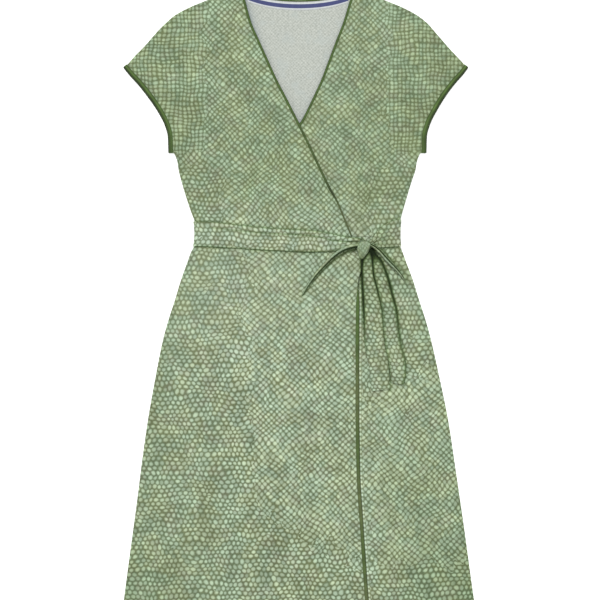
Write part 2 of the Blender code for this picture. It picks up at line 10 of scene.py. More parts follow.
import bpy
import numpy as np
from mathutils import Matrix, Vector

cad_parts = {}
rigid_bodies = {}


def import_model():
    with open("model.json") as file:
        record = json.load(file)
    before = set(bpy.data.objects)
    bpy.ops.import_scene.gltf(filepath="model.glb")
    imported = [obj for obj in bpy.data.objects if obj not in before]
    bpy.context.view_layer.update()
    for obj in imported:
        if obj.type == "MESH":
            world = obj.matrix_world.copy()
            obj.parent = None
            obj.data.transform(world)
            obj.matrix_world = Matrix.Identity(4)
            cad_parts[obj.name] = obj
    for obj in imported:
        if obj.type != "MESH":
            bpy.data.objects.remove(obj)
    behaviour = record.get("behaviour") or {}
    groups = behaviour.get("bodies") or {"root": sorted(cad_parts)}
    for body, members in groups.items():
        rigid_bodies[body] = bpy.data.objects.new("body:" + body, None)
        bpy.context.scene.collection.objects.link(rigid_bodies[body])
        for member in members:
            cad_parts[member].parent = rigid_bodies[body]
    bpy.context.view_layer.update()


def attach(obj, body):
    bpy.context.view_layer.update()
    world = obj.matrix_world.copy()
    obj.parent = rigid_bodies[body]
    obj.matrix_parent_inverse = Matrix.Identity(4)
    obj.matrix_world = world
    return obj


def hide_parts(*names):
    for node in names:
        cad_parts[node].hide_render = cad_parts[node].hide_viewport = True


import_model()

MM = 0.001

# ---------------------------------------------------------------- main sizes
HEM_Y, TOP_Y, SEAM_Y = -526.7, 528.5, 112.0
CLOTH, GAP, BELT = 1.2, 0.3, 1.6
NECK_BIND_W, SKIRT_BIND_W, ARM_BIND_W, ARM_BIND_T = 3.4, 4.6, 9.0, 1.4
TAPE_W = 13.4
FRONT_Z = CLOTH + GAP
OVER_STEP = CLOTH + 0.9
WALL = 0.6              # what one layer of the soft cloth measures

SHOULDER = [  # y, left x, right x
    (528.5, -101.0, 98.0), (510.0, -153.0, 142.6), (496.0, -186.6, 176.2),
    (483.0, -210.0, 199.8), (469.5, -225.3, 216.6), (456.0, -238.7, 228.3),
    (442.5, -250.5, 240.1), (429.0, -262.5, 251.8), (416.0, -275.5, 264.0),
    (402.0, -287.6, 277.0),
]
ARMHOLE = [  # left x, left y, right x, right y
    (-295.0, 395.6, 284.0, 395.6), (-285.0, 383.2, 276.0, 384.7),
    (-269.0, 365.5, 264.6, 371.8), (-252.7, 344.5, 248.5, 351.0),
    (-236.5, 320.5, 232.3, 325.0), (-225.3, 298.0, 219.6, 299.4),
    (-220.6, 280.0, 214.7, 280.0), (-219.7, 253.5, 213.9, 253.5),
]
SIDE = [  # y, left x, right x
    (252.0, -209.6, 202.9), (238.0, -204.5, 197.7), (224.0, -202.4, 195.4),
    (207.0, -198.2, 189.6), (174.0, -188.3, 179.6), (150.0, -180.0, 172.6),
    (138.0, -175.6, 169.6), (117.0, -174.1, 168.3), (96.0, -176.2, 169.6),
    (88.0, -180.6, 173.0), (70.0, -187.4, 179.6), (39.5, -198.4, 191.2),
    (6.0, -208.6, 201.6), (-28.0, -219.6, 212.6), (-61.0, -228.6, 221.6),
    (-128.0, -242.0, 236.6), (-196.0, -254.0, 250.4), (-263.0, -263.6, 260.6),
    (-330.0, -272.0, 270.4), (-397.0, -281.0, 280.0), (-464.0, -290.0, 289.0),
    (-528.5, -298.3, 298.3),
]
NECK = [  # y, over front x, under front x
    (528.5, -98.5, 95.5), (510.0, -93.2, 88.2), (472.0, -82.6, 76.4),
    (438.0, -67.8, 63.2), (408.0, -54.3, 52.0), (375.0, -39.3, 39.4),
    (340.0, -21.2, 23.2), (305.0, -3.5, 5.4), (277.0, 10.7, -15.8),
    (248.0, 24.4, -30.0), (222.0, 36.6, -42.0), (191.0, 52.0, -57.0),
    (172.0, 63.0, -68.0), (145.0, 74.4, -80.0), (112.0, 88.0, -93.0),
]
SKIRT_EDGE = [  # y, over skirt's free edge x, under skirt's hidden edge x
    (112.0, 104.0, -95.0), (90.0, 109.0, -96.0), (64.7, 108.2, -97.0),
    (48.0, 102.0, -98.0), (31.0, 99.0, -99.0), (6.0, 98.1, -100.0),
    (-100.0, 97.3, -102.0), (-162.0, 97.3, -103.0), (-281.0, 99.0, -104.5),
    (-390.0, 105.7, -106.0), (-498.0, 113.2, -107.0), (-528.5, 115.4, -107.5),
]
BACK_NECK_MID_Y, BACK_NECK_HALF = 510.2, 99.0
LIFT = [(200.0, 0.0), (184.0, 0.0), (146.0, BELT + GAP), (88.0, BELT + GAP), (50.0, 0.0), (30.0, 0.0)]
CROWN = [  # y, how far the fronts stand up off the back away from the sides
    (528.5, 0.0), (490.0, 0.8), (425.0, 1.4), (340.0, 1.9), (253.0, 2.2),
    (184.0, 1.8), (146.0, 1.2), (88.0, 1.2), (50.0, 1.6), (0.0, 2.2),
    (-300.0, 2.3), (-528.5, 1.8),
]
CROWN_SHAPE = [(0.0, 0.0), (8.0, 0.45), (22.0, 0.8), (40.0, 1.0), (60.0, 1.0)]
STEP_SHARE = [(528.5, 0.0), (425.0, 0.35), (340.0, 1.0), (-528.5, 1.0)]

KNOT_OUTLINE = [  # x, y round the knot, seen from above
    (96.6, 94.4), (99.4, 100.4), (106.0, 104.2), (114.6, 104.2), (119.6, 101.0), (119.4, 95.6), (117.4, 90.4),
    (112.4, 81.5), (107.2, 74.8), (103.8, 73.0), (101.4, 76.4), (98.4, 85.4),
]
LOOP_LEFT = [  # x, y, half width, top of the crest
    (100.0, 96.0, 6.4, 15.0), (90.0, 94.6, 6.8, 15.4), (76.0, 90.2, 6.0, 14.8), (58.0, 78.6, 5.4, 13.6),
    (43.0, 64.0, 5.0, 12.2), (29.0, 48.6, 4.4, 11.4), (15.0, 29.4, 3.1, 10.8), (8.6, 19.2, 2.0, 10.0),
    (5.0, 13.4, 0.7, 9.0),
]
LOOP_RIGHT = [  # x, y, half width, top of the crest
    (117.0, 99.6, 2.4, 14.0), (124.6, 96.0, 3.6, 13.6), (134.4, 88.4, 4.6, 12.6), (146.8, 74.6, 4.8, 11.4),
    (158.6, 62.6, 4.4, 10.4), (168.0, 52.2, 3.6, 9.6), (175.0, 42.4, 2.4, 8.8), (179.6, 33.2, 0.7, 7.8),
]
TAIL_LEFT = [  # y, left x, right x, underside, height of its soft fold
    (90.0, 106.0, 116.0, 10.6, 0.8), (84.0, 105.4, 119.0, 10.6, 1.0), (77.2, 105.0, 121.4, 10.2, 1.6),
    (70.0, 104.6, 122.4, 8.8, 2.0), (48.0, 105.0, 124.2, 7.9, 2.2), (31.0, 105.7, 128.6, 7.7, 2.2),
    (12.0, 106.8, 133.4, 6.6, 2.0), (-10.0, 107.8, 138.4, 5.4, 1.8), (-51.0, 108.6, 141.5, 5.4, 1.6),
    (-76.0, 110.8, 144.8, 5.4, 1.5), (-98.0, 115.6, 149.5, 5.4, 1.3), (-125.0, 119.8, 151.6, 5.4, 0.9),
    (-145.0, 121.5, 152.2, 5.4, 0.5),
]
TAIL_RIGHT = [  # y, left x, right x, underside, height of its soft fold
    (92.0, 112.0, 120.0, 10.2, 0.6), (84.0, 118.4, 128.6, 10.0, 1.0), (77.2, 122.0, 134.0, 9.6, 1.4),
    (70.0, 123.0, 138.4, 8.2, 1.8), (48.0, 124.8, 147.4, 6.4, 2.0), (31.0, 129.2, 152.2, 5.8, 2.0),
    (12.0, 134.0, 157.0, 5.4, 1.9), (-10.0, 139.0, 163.0, 5.4, 1.8), (-51.0, 142.1, 167.6, 5.4, 1.7),
    (-76.0, 145.4, 172.4, 5.4, 1.5), (-98.0, 150.1, 178.6, 5.4, 1.3), (-118.0, 152.1, 179.2, 5.4, 1.0),
    (-134.0, 152.5, 174.6, 5.4, 0.6),
]
BELT_LEFT = [  # inset from the side, low y, high y, height of pleats
    (0.0, 95.6, 138.0, 0.0), (14.0, 95.4, 137.4, 0.15), (30.0, 94.6, 136.4, 0.25),
    (48.0, 93.4, 134.6, 0.35), (75.0, 91.8, 131.6, 0.5), (128.0, 88.6, 126.0, 0.7),
    (193.0, 86.2, 122.4, 1.1), (220.0, 86.4, 119.0, 1.5), (240.0, 88.2, 114.6, 1.9),
    (257.0, 91.2, 111.4, 2.1), (278.0, 95.0, 108.4, 2.1),
]
BELT_RIGHT = [  # inset from the side, low y, high y, height of pleats
    (0.0, 95.6, 141.0, 0.1), (8.0, 95.2, 139.6, 0.5), (18.0, 94.4, 136.0, 1.0),
    (28.0, 93.8, 130.0, 1.6), (38.0, 93.4, 120.0, 2.0), (46.8, 93.4, 107.4, 2.1), (52.0, 93.6, 103.6, 2.1),
]
BELT_CREASE = [  # inset from the left side, share of the belt's height where its long crease runs
    (0.0, 0.74), (46.0, 0.76), (75.0, 0.75), (127.0, 0.76), (160.0, 0.77), (205.0, 0.74),
    (226.0, 0.64), (259.0, 0.60), (278.0, 0.55),
]


# ------------------------------------------------------------------- helpers
def curve(table, col=1):
    """Monotone cubic through the table's rows, for arrays."""
    rows = sorted((r[0], r[col]) for r in table)
    x = np.array([r[0] for r in rows], float)
    y = np.array([r[1] for r in rows], float)
    h = np.diff(x)
    d = np.diff(y) / h
    m = np.zeros(len(x))
    m[0], m[-1] = d[0], d[-1]
    for k in range(1, len(x) - 1):
        if d[k - 1] * d[k] > 0:
            w1, w2 = 2 * h[k] + h[k - 1], h[k] + 2 * h[k - 1]
            m[k] = (w1 + w2) / (w1 / d[k - 1] + w2 / d[k])

    def value(v):
        v = np.clip(np.asarray(v, float), x[0], x[-1])
        k = np.clip(np.searchsorted(x, v) - 1, 0, len(x) - 2)
        s = (v - x[k]) / h[k]
        return (y[k] * (1 + 2 * s) * (1 - s) ** 2 + m[k] * h[k] * s * (1 - s) ** 2
                + y[k + 1] * s * s * (3 - 2 * s) + m[k + 1] * h[k] * s * s * (s - 1))
    return value


def smoothstep(a, b, v):
    t = np.clip((np.asarray(v, float) - a) / (b - a), 0.0, 1.0)
    return t * t * (3 - 2 * t)


def dense_path(points, step=2.0):
    p = np.array(points, float)
    along = np.concatenate([[0], np.cumsum(np.linalg.norm(np.diff(p, axis=0), axis=1))])
    n = max(int(along[-1] / step), 2)
    t = np.linspace(0, along[-1], n + 1)
    return np.stack([curve(list(zip(along, p[:, k])))(t) for k in range(p.shape[1])], 1)


def tangents(path):
    t = np.gradient(path, axis=0)
    return t / np.linalg.norm(t, axis=1, keepdims=True)


def near_line(x, y, line):
    """Distance to a polyline, signed to its left, and the share along it."""
    line = np.array(line, float)
    lengths = np.linalg.norm(np.diff(line, axis=0), axis=1)
    total, start = lengths.sum(), 0.0
    best = np.full(np.shape(x), 1e9)
    sign = np.ones(np.shape(x))
    share = np.zeros(np.shape(x))
    for a, b, l in zip(line, line[1:], lengths):
        dx, dy = (b - a) / l
        t = np.clip((x - a[0]) * dx + (y - a[1]) * dy, 0, l)
        ox, oy = x - a[0] - dx * t, y - a[1] - dy * t
        d = np.hypot(ox, oy)
        closer = d < best
        best = np.where(closer, d, best)
        sign = np.where(closer, np.sign(dx * oy - dy * ox + 1e-12), sign)
        share = np.where(closer, (start + t) / total, share)
        start += l
    return best, sign, share


def hills(x, y, seed, scale, octaves=3):
    """Smooth seeded undulation from sums of slow waves, about -1 to 1."""
    rng = np.random.RandomState(seed)
    out = np.zeros(np.shape(x))
    for k in range(octaves):
        for _ in range(5):
            a, ph = rng.uniform(0, 2 * math.pi, 2)
            f = 2 * math.pi / (scale / 1.8 ** k) * rng.uniform(0.7, 1.3)
            out = out + np.sin(f * (x * math.cos(a) + y * math.sin(a)) + ph) / (2.6 * 1.5 ** k)
    return out / 2.2


lift, crown, crown_shape, step_share = curve(LIFT), curve(CROWN), curve(CROWN_SHAPE), curve(STEP_SHARE)
neck_over, neck_under = curve(NECK, 1), curve(NECK, 2)
skirt_over, skirt_under = curve(SKIRT_EDGE, 1), curve(SKIRT_EDGE, 2)
shoulder = {-1: curve(SHOULDER, 1), 1: curve(SHOULDER, 2)}
side_seam = {-1: curve(SIDE, 1), 1: curve(SIDE, 2)}
ARM_PATH = {-1: dense_path([(r[0], r[1]) for r in ARMHOLE]), 1: dense_path([(r[2], r[3]) for r in ARMHOLE])}


def arm_inner_path(side, width):
    path = ARM_PATH[side]
    t = tangents(path)
    return path + np.stack([t[:, 1], -t[:, 0]], 1) * side * width


def inner_of(side):
    p = arm_inner_path(side, ARM_BIND_W)
    order = np.argsort(p[:, 1])
    return lambda y: np.interp(y, p[order, 1], p[order, 0])


bound_inner = {-1: inner_of(-1), 1: inner_of(1)}


def edge(side, y):
    y = np.asarray(y, float)
    return np.where(y >= 401.5, shoulder[side](y),
                    np.where(y >= 252.5, bound_inner[side](y) + side * 2.5, side_seam[side](y)))


def slope_scale(f, y):
    d = (f(np.asarray(y) + 1.0) - f(np.asarray(y) - 1.0)) / 2.0
    return np.sqrt(1.0 + d * d)


def back_neck(x):
    u = np.asarray(x, float) / BACK_NECK_HALF
    return BACK_NECK_MID_Y + (TOP_Y - BACK_NECK_MID_Y) * (0.75 * u ** 2 + 0.25 * u ** 4)


def crown_at(x, y):
    inside = np.maximum(np.minimum(x - edge(-1, y), edge(1, y) - x), 0.0)
    return crown(y) * crown_shape(inside)


def step_at(x, y, hidden, free):
    end = np.minimum(hidden - 8.0, free - 8.0)
    return OVER_STEP * step_share(y) * smoothstep(end - 26.0, end, x)


# ------------------------------------------------------- creases
# each: points, half width, depth (minus is a trough), painted shade along it
FRONT_CREASES = [
    ([(-70.0, 232.0), (-80.0, 206.0), (-92.0, 172.0)], 6.0, -1.1, 0.10),
    ([(-60.0, 226.0), (-68.0, 200.0), (-78.0, 176.0)], 7.0, 0.7, 0.0),
    ([(-168.0, 336.0), (-165.0, 312.0), (-156.0, 282.0)], 6.5, -1.0, 0.10),
    ([(-180.0, 170.0), (-168.0, 156.0), (-150.0, 148.0)], 4.5, -0.7, 0.06),
    ([(-186.0, 190.0), (-168.0, 178.0), (-140.0, 172.0)], 5.0, -0.5, 0.03),
    # gathers that fan up from the waist, right of the crossing
    ([(94.0, 138.0), (99.0, 180.0), (108.0, 258.0)], 3.4, -0.8, 0.10),
    ([(100.0, 138.0), (111.0, 182.0), (126.0, 262.0)], 3.2, -1.0, 0.13),
    ([(106.0, 140.0), (122.0, 184.0), (142.0, 248.0)], 3.6, -0.9, 0.11),
    ([(114.0, 140.0), (134.0, 180.0), (158.0, 224.0)], 3.8, -0.7, 0.08),
    ([(122.0, 140.0), (146.0, 168.0), (168.0, 194.0)], 3.4, -0.6, 0.07),
    ([(97.0, 142.0), (105.0, 184.0), (116.0, 250.0)], 3.2, 0.6, 0.0),
    ([(104.0, 142.0), (117.0, 184.0), (134.0, 250.0)], 3.4, 0.6, 0.0),
    ([(111.0, 142.0), (128.0, 182.0), (150.0, 234.0)], 3.4, 0.5, 0.0),
    # short pulls into the waist on the over front
    ([(60.0, 136.0), (44.0, 160.0), (26.0, 196.0)], 4.5, -0.6, 0.05),
    ([(36.0, 136.0), (24.0, 160.0), (12.0, 182.0)], 4.0, -0.45, 0.04),
    ([(-20.0, 136.0), (-26.0, 158.0), (-30.0, 178.0)], 4.5, -0.4, 0.03),
    ([(-120.0, 142.0), (-116.0, 160.0), (-106.0, 186.0)], 5.0, -0.45, 0.03),
    # sleeve and shoulder pulls
    ([(-262.0, 392.0), (-236.0, 400.0), (-204.0, 410.0)], 7.0, -0.6, 0.03),
    ([(-222.0, 330.0), (-200.0, 350.0), (-172.0, 366.0)], 7.0, -0.6, 0.04),
    ([(250.0, 392.0), (226.0, 402.0), (198.0, 414.0)], 7.0, -0.6, 0.03),
    ([(212.0, 326.0), (190.0, 344.0), (164.0, 352.0)], 7.0, -0.6, 0.04),
    ([(196.0, 246.0), (176.0, 262.0), (150.0, 270.0)], 6.0, -0.5, 0.04),
    # skirt
    ([(-150.0, 84.0), (-158.0, 40.0), (-170.0, -30.0)], 8.0, -0.7, 0.03),
    ([(-96.0, 82.0), (-99.0, 30.0), (-106.0, -60.0)], 9.0, -0.5, 0.02),
    ([(-28.0, 80.0), (-30.0, 30.0), (-28.0, -70.0)], 9.0, -0.45, 0.02),
    ([(158.0, 86.0), (168.0, 50.0), (182.0, 0.0)], 5.5, -0.7, 0.06),
    ([(190.0, 40.0), (200.0, -20.0), (208.0, -90.0)], 8.0, -0.6, 0.03),
    ([(-236.0, -150.0), (-238.0, -260.0), (-246.0, -400.0)], 16.0, -0.9, 0.03),
    ([(-150.0, -300.0), (-158.0, -420.0), (-164.0, -526.0)], 20.0, -0.9, 0.02),
    ([(20.0, -330.0), (22.0, -430.0), (26.0, -526.0)], 20.0, -0.7, 0.02),
    ([(204.0, -250.0), (214.0, -380.0), (226.0, -526.0)], 18.0, -0.9, 0.04),
    ([(150.0, -200.0), (156.0, -300.0), (160.0, -400.0)], 12.0, -0.5, 0.02),
]
BACK_CREASES = [
    ([(-96.0, 150.0), (-104.0, 190.0), (-112.0, 262.0)], 6.0, -0.9, 0.07),
    ([(-64.0, 150.0), (-70.0, 184.0), (-74.0, 232.0)], 5.0, -0.6, 0.05),
    ([(8.0, 150.0), (12.0, 186.0), (10.0, 230.0)], 6.0, -0.6, 0.04),
    ([(84.0, 150.0), (92.0, 194.0), (104.0, 254.0)], 6.0, -0.9, 0.07),
    ([(118.0, 150.0), (126.0, 180.0), (138.0, 214.0)], 5.0, -0.6, 0.05),
    ([(-220.0, 330.0), (-196.0, 348.0), (-166.0, 360.0)], 8.0, -0.7, 0.04),
    ([(214.0, 330.0), (190.0, 350.0), (160.0, 358.0)], 8.0, -0.7, 0.04),
    ([(-70.0, 470.0), (-20.0, 458.0), (44.0, 464.0)], 9.0, -0.5, 0.02),
    ([(-130.0, 84.0), (-138.0, 20.0), (-150.0, -90.0)], 9.0, -0.8, 0.04),
    ([(-40.0, 84.0), (-44.0, 10.0), (-46.0, -120.0)], 10.0, -0.6, 0.03),
    ([(60.0, 84.0), (64.0, 0.0), (70.0, -110.0)], 10.0, -0.6, 0.03),
    ([(134.0, 84.0), (146.0, 20.0), (160.0, -80.0)], 9.0, -0.8, 0.04),
    ([(-190.0, -180.0), (-200.0, -340.0), (-210.0, -526.0)], 18.0, -0.9, 0.03),
    ([(-60.0, -250.0), (-66.0, -390.0), (-70.0, -526.0)], 22.0, -0.8, 0.02),
    ([(80.0, -230.0), (88.0, -380.0), (94.0, -526.0)], 20.0, -0.8, 0.02),
    ([(200.0, -170.0), (212.0, -350.0), (222.0, -526.0)], 18.0, -0.9, 0.03),
]


def creases(x, y, table, seed):
    """Height of the creases and the painted shade along them."""
    height = hills(x, y, seed, 190.0) * 0.55 + hills(x, y, seed + 1, 60.0, 2) * 0.16
    dark = np.zeros(np.shape(x))
    for points, half, depth, shade in table:
        d, _, share = near_line(x, y, points)
        fade = np.sin(np.pi * np.clip(share * 0.86 + 0.10, 0, 1)) ** 0.7
        bell = np.exp(-(d / half) ** 2) * fade
        height = height + depth * bell
        dark = dark + shade * bell
    inside = np.minimum(x - edge(-1, y), edge(1, y) - x)
    calm = smoothstep(0.0, 14.0, inside)
    waist = 1 - 0.85 * smoothstep(20.0, 6.0, np.abs(np.asarray(y) - 116.0))
    return height * calm * waist, dark * calm


# lines of painted contact shadow beside the bow's loops, knot and tails: points, half width, strength
LEFT_LOOP_SHADE = [(96.0, 91.0), (76.0, 85.0), (58.6, 73.0), (43.6, 59.6), (29.6, 44.6), (16.6, 27.0), (5.6, 13.2)]
RIGHT_LOOP_SHADE = [(131.0, 99.0), (140.6, 89.0), (152.6, 76.0), (164.6, 63.6), (174.2, 51.0), (179.6, 38.4), (180.4, 30.0)]
KNOT_EDGE = [(120.4, 97.0), (117.6, 90.0), (112.6, 81.2), (107.6, 75.0), (105.6, 70.4), (104.8, 64.0)]
TAIL_EDGE_LEFT = [(r[1] - 0.6, r[0]) for r in TAIL_LEFT[2:10]]
TAIL_EDGE_RIGHT = [(r[2] + 0.8, r[0]) for r in TAIL_RIGHT[2:]]
TAIL_MIDDLE = [(r[2] + 0.2, r[0]) for r in TAIL_LEFT[2:]]


def belt_low(x):
    inset_l = x + 174.1
    inset_r = 168.3 - x
    left = curve(BELT_LEFT, 1)(inset_l)
    right = curve(BELT_RIGHT, 1)(inset_r)
    return np.where(x < 100.0, left, np.where(x > 121.0, right, left + (right - left) * (x - 100.0) / 21.0))


def belt_high(x):
    return np.where(x < 110.0, curve(BELT_LEFT, 2)(x + 174.1), curve(BELT_RIGHT, 2)(168.3 - x))


def panel_shade(x, y):
    """Painted shadow where the belt, loops and tails lie on the panels; 0 is none."""
    out = np.zeros(np.shape(x))
    on_belt = (x > -176.0) & (x < 171.0)
    # painted shadow below the belt's lower edge
    below = belt_low(x) - y
    strength = np.where(x < 60, 0.58, 0.6) * (0.75 + 0.25 * np.sin(x * 0.09 + 1.0))
    out = np.maximum(out, np.where(on_belt, strength * np.exp(-np.clip(below, 0, 99) / 1.8) * (below > -3), 0))
    # painted shadow beside the two loops
    for line, half, amount, end in ((LEFT_LOOP_SHADE, 2.0, 0.72, 1.0), (RIGHT_LOOP_SHADE, 2.0, 0.62, 1.0)):
        d, _, share = near_line(x, y, line)
        out = np.maximum(out, amount * np.exp(-(d / half) ** 2) * (1 - 0.55 * share))
    # painted shadow along the tails' outer edges
    d, _, share = near_line(x, y, TAIL_EDGE_LEFT)
    out = np.maximum(out, 0.85 * np.exp(-(d / 2.0) ** 2) * (1 - smoothstep(0.45, 1.0, share)))
    d, _, share = near_line(x, y, TAIL_EDGE_RIGHT)
    out = np.maximum(out, 0.82 * np.exp(-(d / 2.4) ** 2) * (1 - 0.75 * smoothstep(0.35, 0.95, share)))
    # painted shadow in the hollow right of the knot
    d, _, share = near_line(x, y, [(122.0, 98.0), (125.0, 84.0), (129.0, 72.0)])
    out = np.maximum(out, 0.92 * np.exp(-(d / 5.0) ** 2))
    # painted shadow under the tails, where their narrow middle gap shows
    d, _, share = near_line(x, y, TAIL_MIDDLE)
    out = np.maximum(out, 0.8 * np.exp(-(d / 3.0) ** 2) * (1 - 0.6 * share))
    # painted shade of a soft fold beside the crossing front's bound edge
    off = np.abs(neck_over(y) - x - 4.8)
    out = np.maximum(out, 0.20 * np.exp(-(off / 1.1) ** 2) * smoothstep(118.0, 150.0, y) * smoothstep(312.0, 286.0, y))
    # painted shadow along the belt's upper edge
    gap = y - belt_high(x)
    return np.maximum(out, np.where(on_belt, 0.42 * np.exp(-np.clip(gap, 0, 99) / 1.5) * (gap > -3), 0))


def corner_shade(x, y):
    """Slow painted shade towards the hem's corners and along the sides."""
    inside = np.minimum(x - edge(-1, y), edge(1, y) - x)
    low = smoothstep(-330.0, -526.0, y) * smoothstep(150.0, 30.0, inside) * 0.13
    side = 0.07 * np.exp(-np.clip(inside, 0, None) / 12.0)
    return low + side


def tone(x, y):
    """Slow change of painted light and shade over the front."""
    out = 1 - 0.05 * smoothstep(-150.0, -190.0, x) * smoothstep(240.0, 262.0, y)
    out = out - 0.07 * smoothstep(140.0, 190.0, x) * smoothstep(240.0, 262.0, y)
    out = out - 0.06 * smoothstep(150.0, 190.0, y)
    out = out - 0.05 * np.exp(-((x + 50.0) / 60.0) ** 2 - ((y - 250.0) / 90.0) ** 2)
    out = out - 0.06 * np.exp(-((x - 120.0) / 60.0) ** 2 - ((y - 300.0) / 90.0) ** 2)
    out = out - 0.05 * smoothstep(110.0, 170.0, x) * smoothstep(-180.0, -320.0, y)
    out = out + 0.06 * np.exp(-((x + 60.0) / 130.0) ** 2 - ((y + 90.0) / 190.0) ** 2)
    return out + 0.05 * np.exp(-((x + 130.0) / 70.0) ** 2 - ((y - 50.0) / 140.0) ** 2)


def lattice_bodice(x, y):
    """1 is the diamond lattice, 2 is square rows, 0 is offset rows."""
    far = smoothstep(132.0, 176.0, np.abs(x + 4.0)) * smoothstep(235.0, 275.0, y)
    waist = smoothstep(110.0, 140.0, np.abs(x + 4.0)) * smoothstep(245.0, 215.0, y)
    return 1.0 + far - waist


def lattice_skirt(x, y):
    middle = smoothstep(-100.0, -60.0, x) * smoothstep(128.0, 104.0, x) * smoothstep(-440.0, -330.0, y + 0.5 * x)
    low_right = smoothstep(112.0, 124.0, x) * smoothstep(-80.0, -150.0, y) * smoothstep(-470.0, -400.0, y)
    high_left = smoothstep(-120.0, -60.0, x) * smoothstep(-160.0, -60.0, y) * smoothstep(104.0, 90.0, x)
    return np.clip(np.maximum(np.maximum(middle, low_right), high_left), 0.08, 0.92)


# ------------------------------------------------------------------ materials
def new_material(name):
    m = bpy.data.materials.new(name)
    m.use_nodes = True
    m.node_tree.nodes.clear()
    return m


class Nodes:
    """Short ways of adding and joining shader nodes."""

    def __init__(self, material):
        self.tree = material.node_tree
        self.count = 0

    def add(self, kind, **settings):
        n = self.tree.nodes.new(kind)
        n.location = (self.count % 12 * 190, -(self.count // 12) * 240)
        self.count += 1
        for k, v in settings.items():
            setattr(n, k, v)
        return n

    def put(self, socket, value):
        if isinstance(value, bpy.types.NodeSocket):
            self.tree.links.new(value, socket)
        elif value is not None:
            if socket.type == "RGBA" and len(value) == 3:
                value = (*value, 1.0)
            socket.default_value = value

    def math(self, op, a, b=None, c=None, clamp=False):
        n = self.add("ShaderNodeMath", operation=op, use_clamp=clamp)
        for s, v in zip(n.inputs, (a, b, c)):
            self.put(s, v)
        return n.outputs[0]

    def vec(self, op, a, b=None, scale=None):
        n = self.add("ShaderNodeVectorMath", operation=op)
        self.put(n.inputs[0], a)
        if b is not None:
            self.put(n.inputs[1], b)
        if scale is not None:
            self.put(n.inputs["Scale"], scale)
        return n.outputs["Value"] if op in ("LENGTH", "DISTANCE", "DOT_PRODUCT") else n.outputs["Vector"]

    def noise(self, vector, scale, detail=1.0, out="Fac", rough=0.5):
        n = self.add("ShaderNodeTexNoise", noise_dimensions="2D")
        self.put(n.inputs["Vector"], vector)
        n.inputs["Scale"].default_value = scale
        n.inputs["Detail"].default_value = detail
        n.inputs["Roughness"].default_value = rough
        return n.outputs[out]

    def attribute(self, name, out="Fac"):
        n = self.add("ShaderNodeAttribute", attribute_name=name)
        return n.outputs[out]

    def mix(self, fac, a, b):
        n = self.add("ShaderNodeMix", data_type="RGBA")
        self.put(n.inputs["Factor"], fac)
        self.put(n.inputs[6], a)
        self.put(n.inputs[7], b)
        return n.outputs[2]

    def mixf(self, fac, a, b):
        n = self.add("ShaderNodeMix", data_type="FLOAT")
        self.put(n.inputs[0], fac)
        self.put(n.inputs[2], a)
        self.put(n.inputs[3], b)
        return n.outputs[0]

    def mixv(self, fac, a, b):
        n = self.add("ShaderNodeMix", data_type="VECTOR")
        self.put(n.inputs[0], fac)
        self.put(n.inputs[4], a)
        self.put(n.inputs[5], b)
        return n.outputs[1]

    def ramp(self, v, a, b, lo=0.0, hi=1.0, kind="SMOOTHSTEP"):
        n = self.add("ShaderNodeMapRange", interpolation_type=kind)
        for s, x in zip(n.inputs, (v, a, b, lo, hi)):
            self.put(s, x)
        return n.outputs[0]

    def scaled(self, colour, factor):
        n = self.add("ShaderNodeVectorMath", operation="SCALE")
        self.put(n.inputs[0], colour)
        self.put(n.inputs["Scale"], factor)
        return n.outputs["Vector"]

    def tinted(self, value, r, g, b):
        n = self.add("ShaderNodeCombineXYZ")
        for socket, power in zip(n.inputs, (r, g, b)):
            self.put(socket, self.math("POWER", value, power))
        return n.outputs[0]

    def bump(self, height, strength, distance):
        n = self.add("ShaderNodeBump")
        n.inputs["Strength"].default_value = strength
        n.inputs["Distance"].default_value = distance
        self.put(n.inputs["Height"], height)
        return n.outputs["Normal"]

    def finish(self, colour, rough, normal=None, sheen=0.12, specular=0.25, sheen_rough=0.45):
        b = self.add("ShaderNodeBsdfPrincipled")
        self.put(b.inputs["Base Color"], colour)
        self.put(b.inputs["Roughness"], rough)
        b.inputs["Specular IOR Level"].default_value = specular
        b.inputs["Sheen Weight"].default_value = sheen
        b.inputs["Sheen Roughness"].default_value = sheen_rough
        if normal is not None:
            self.put(b.inputs["Normal"], normal)
        out = self.add("ShaderNodeOutputMaterial")
        self.tree.links.new(b.outputs[0], out.inputs[0])
        return b


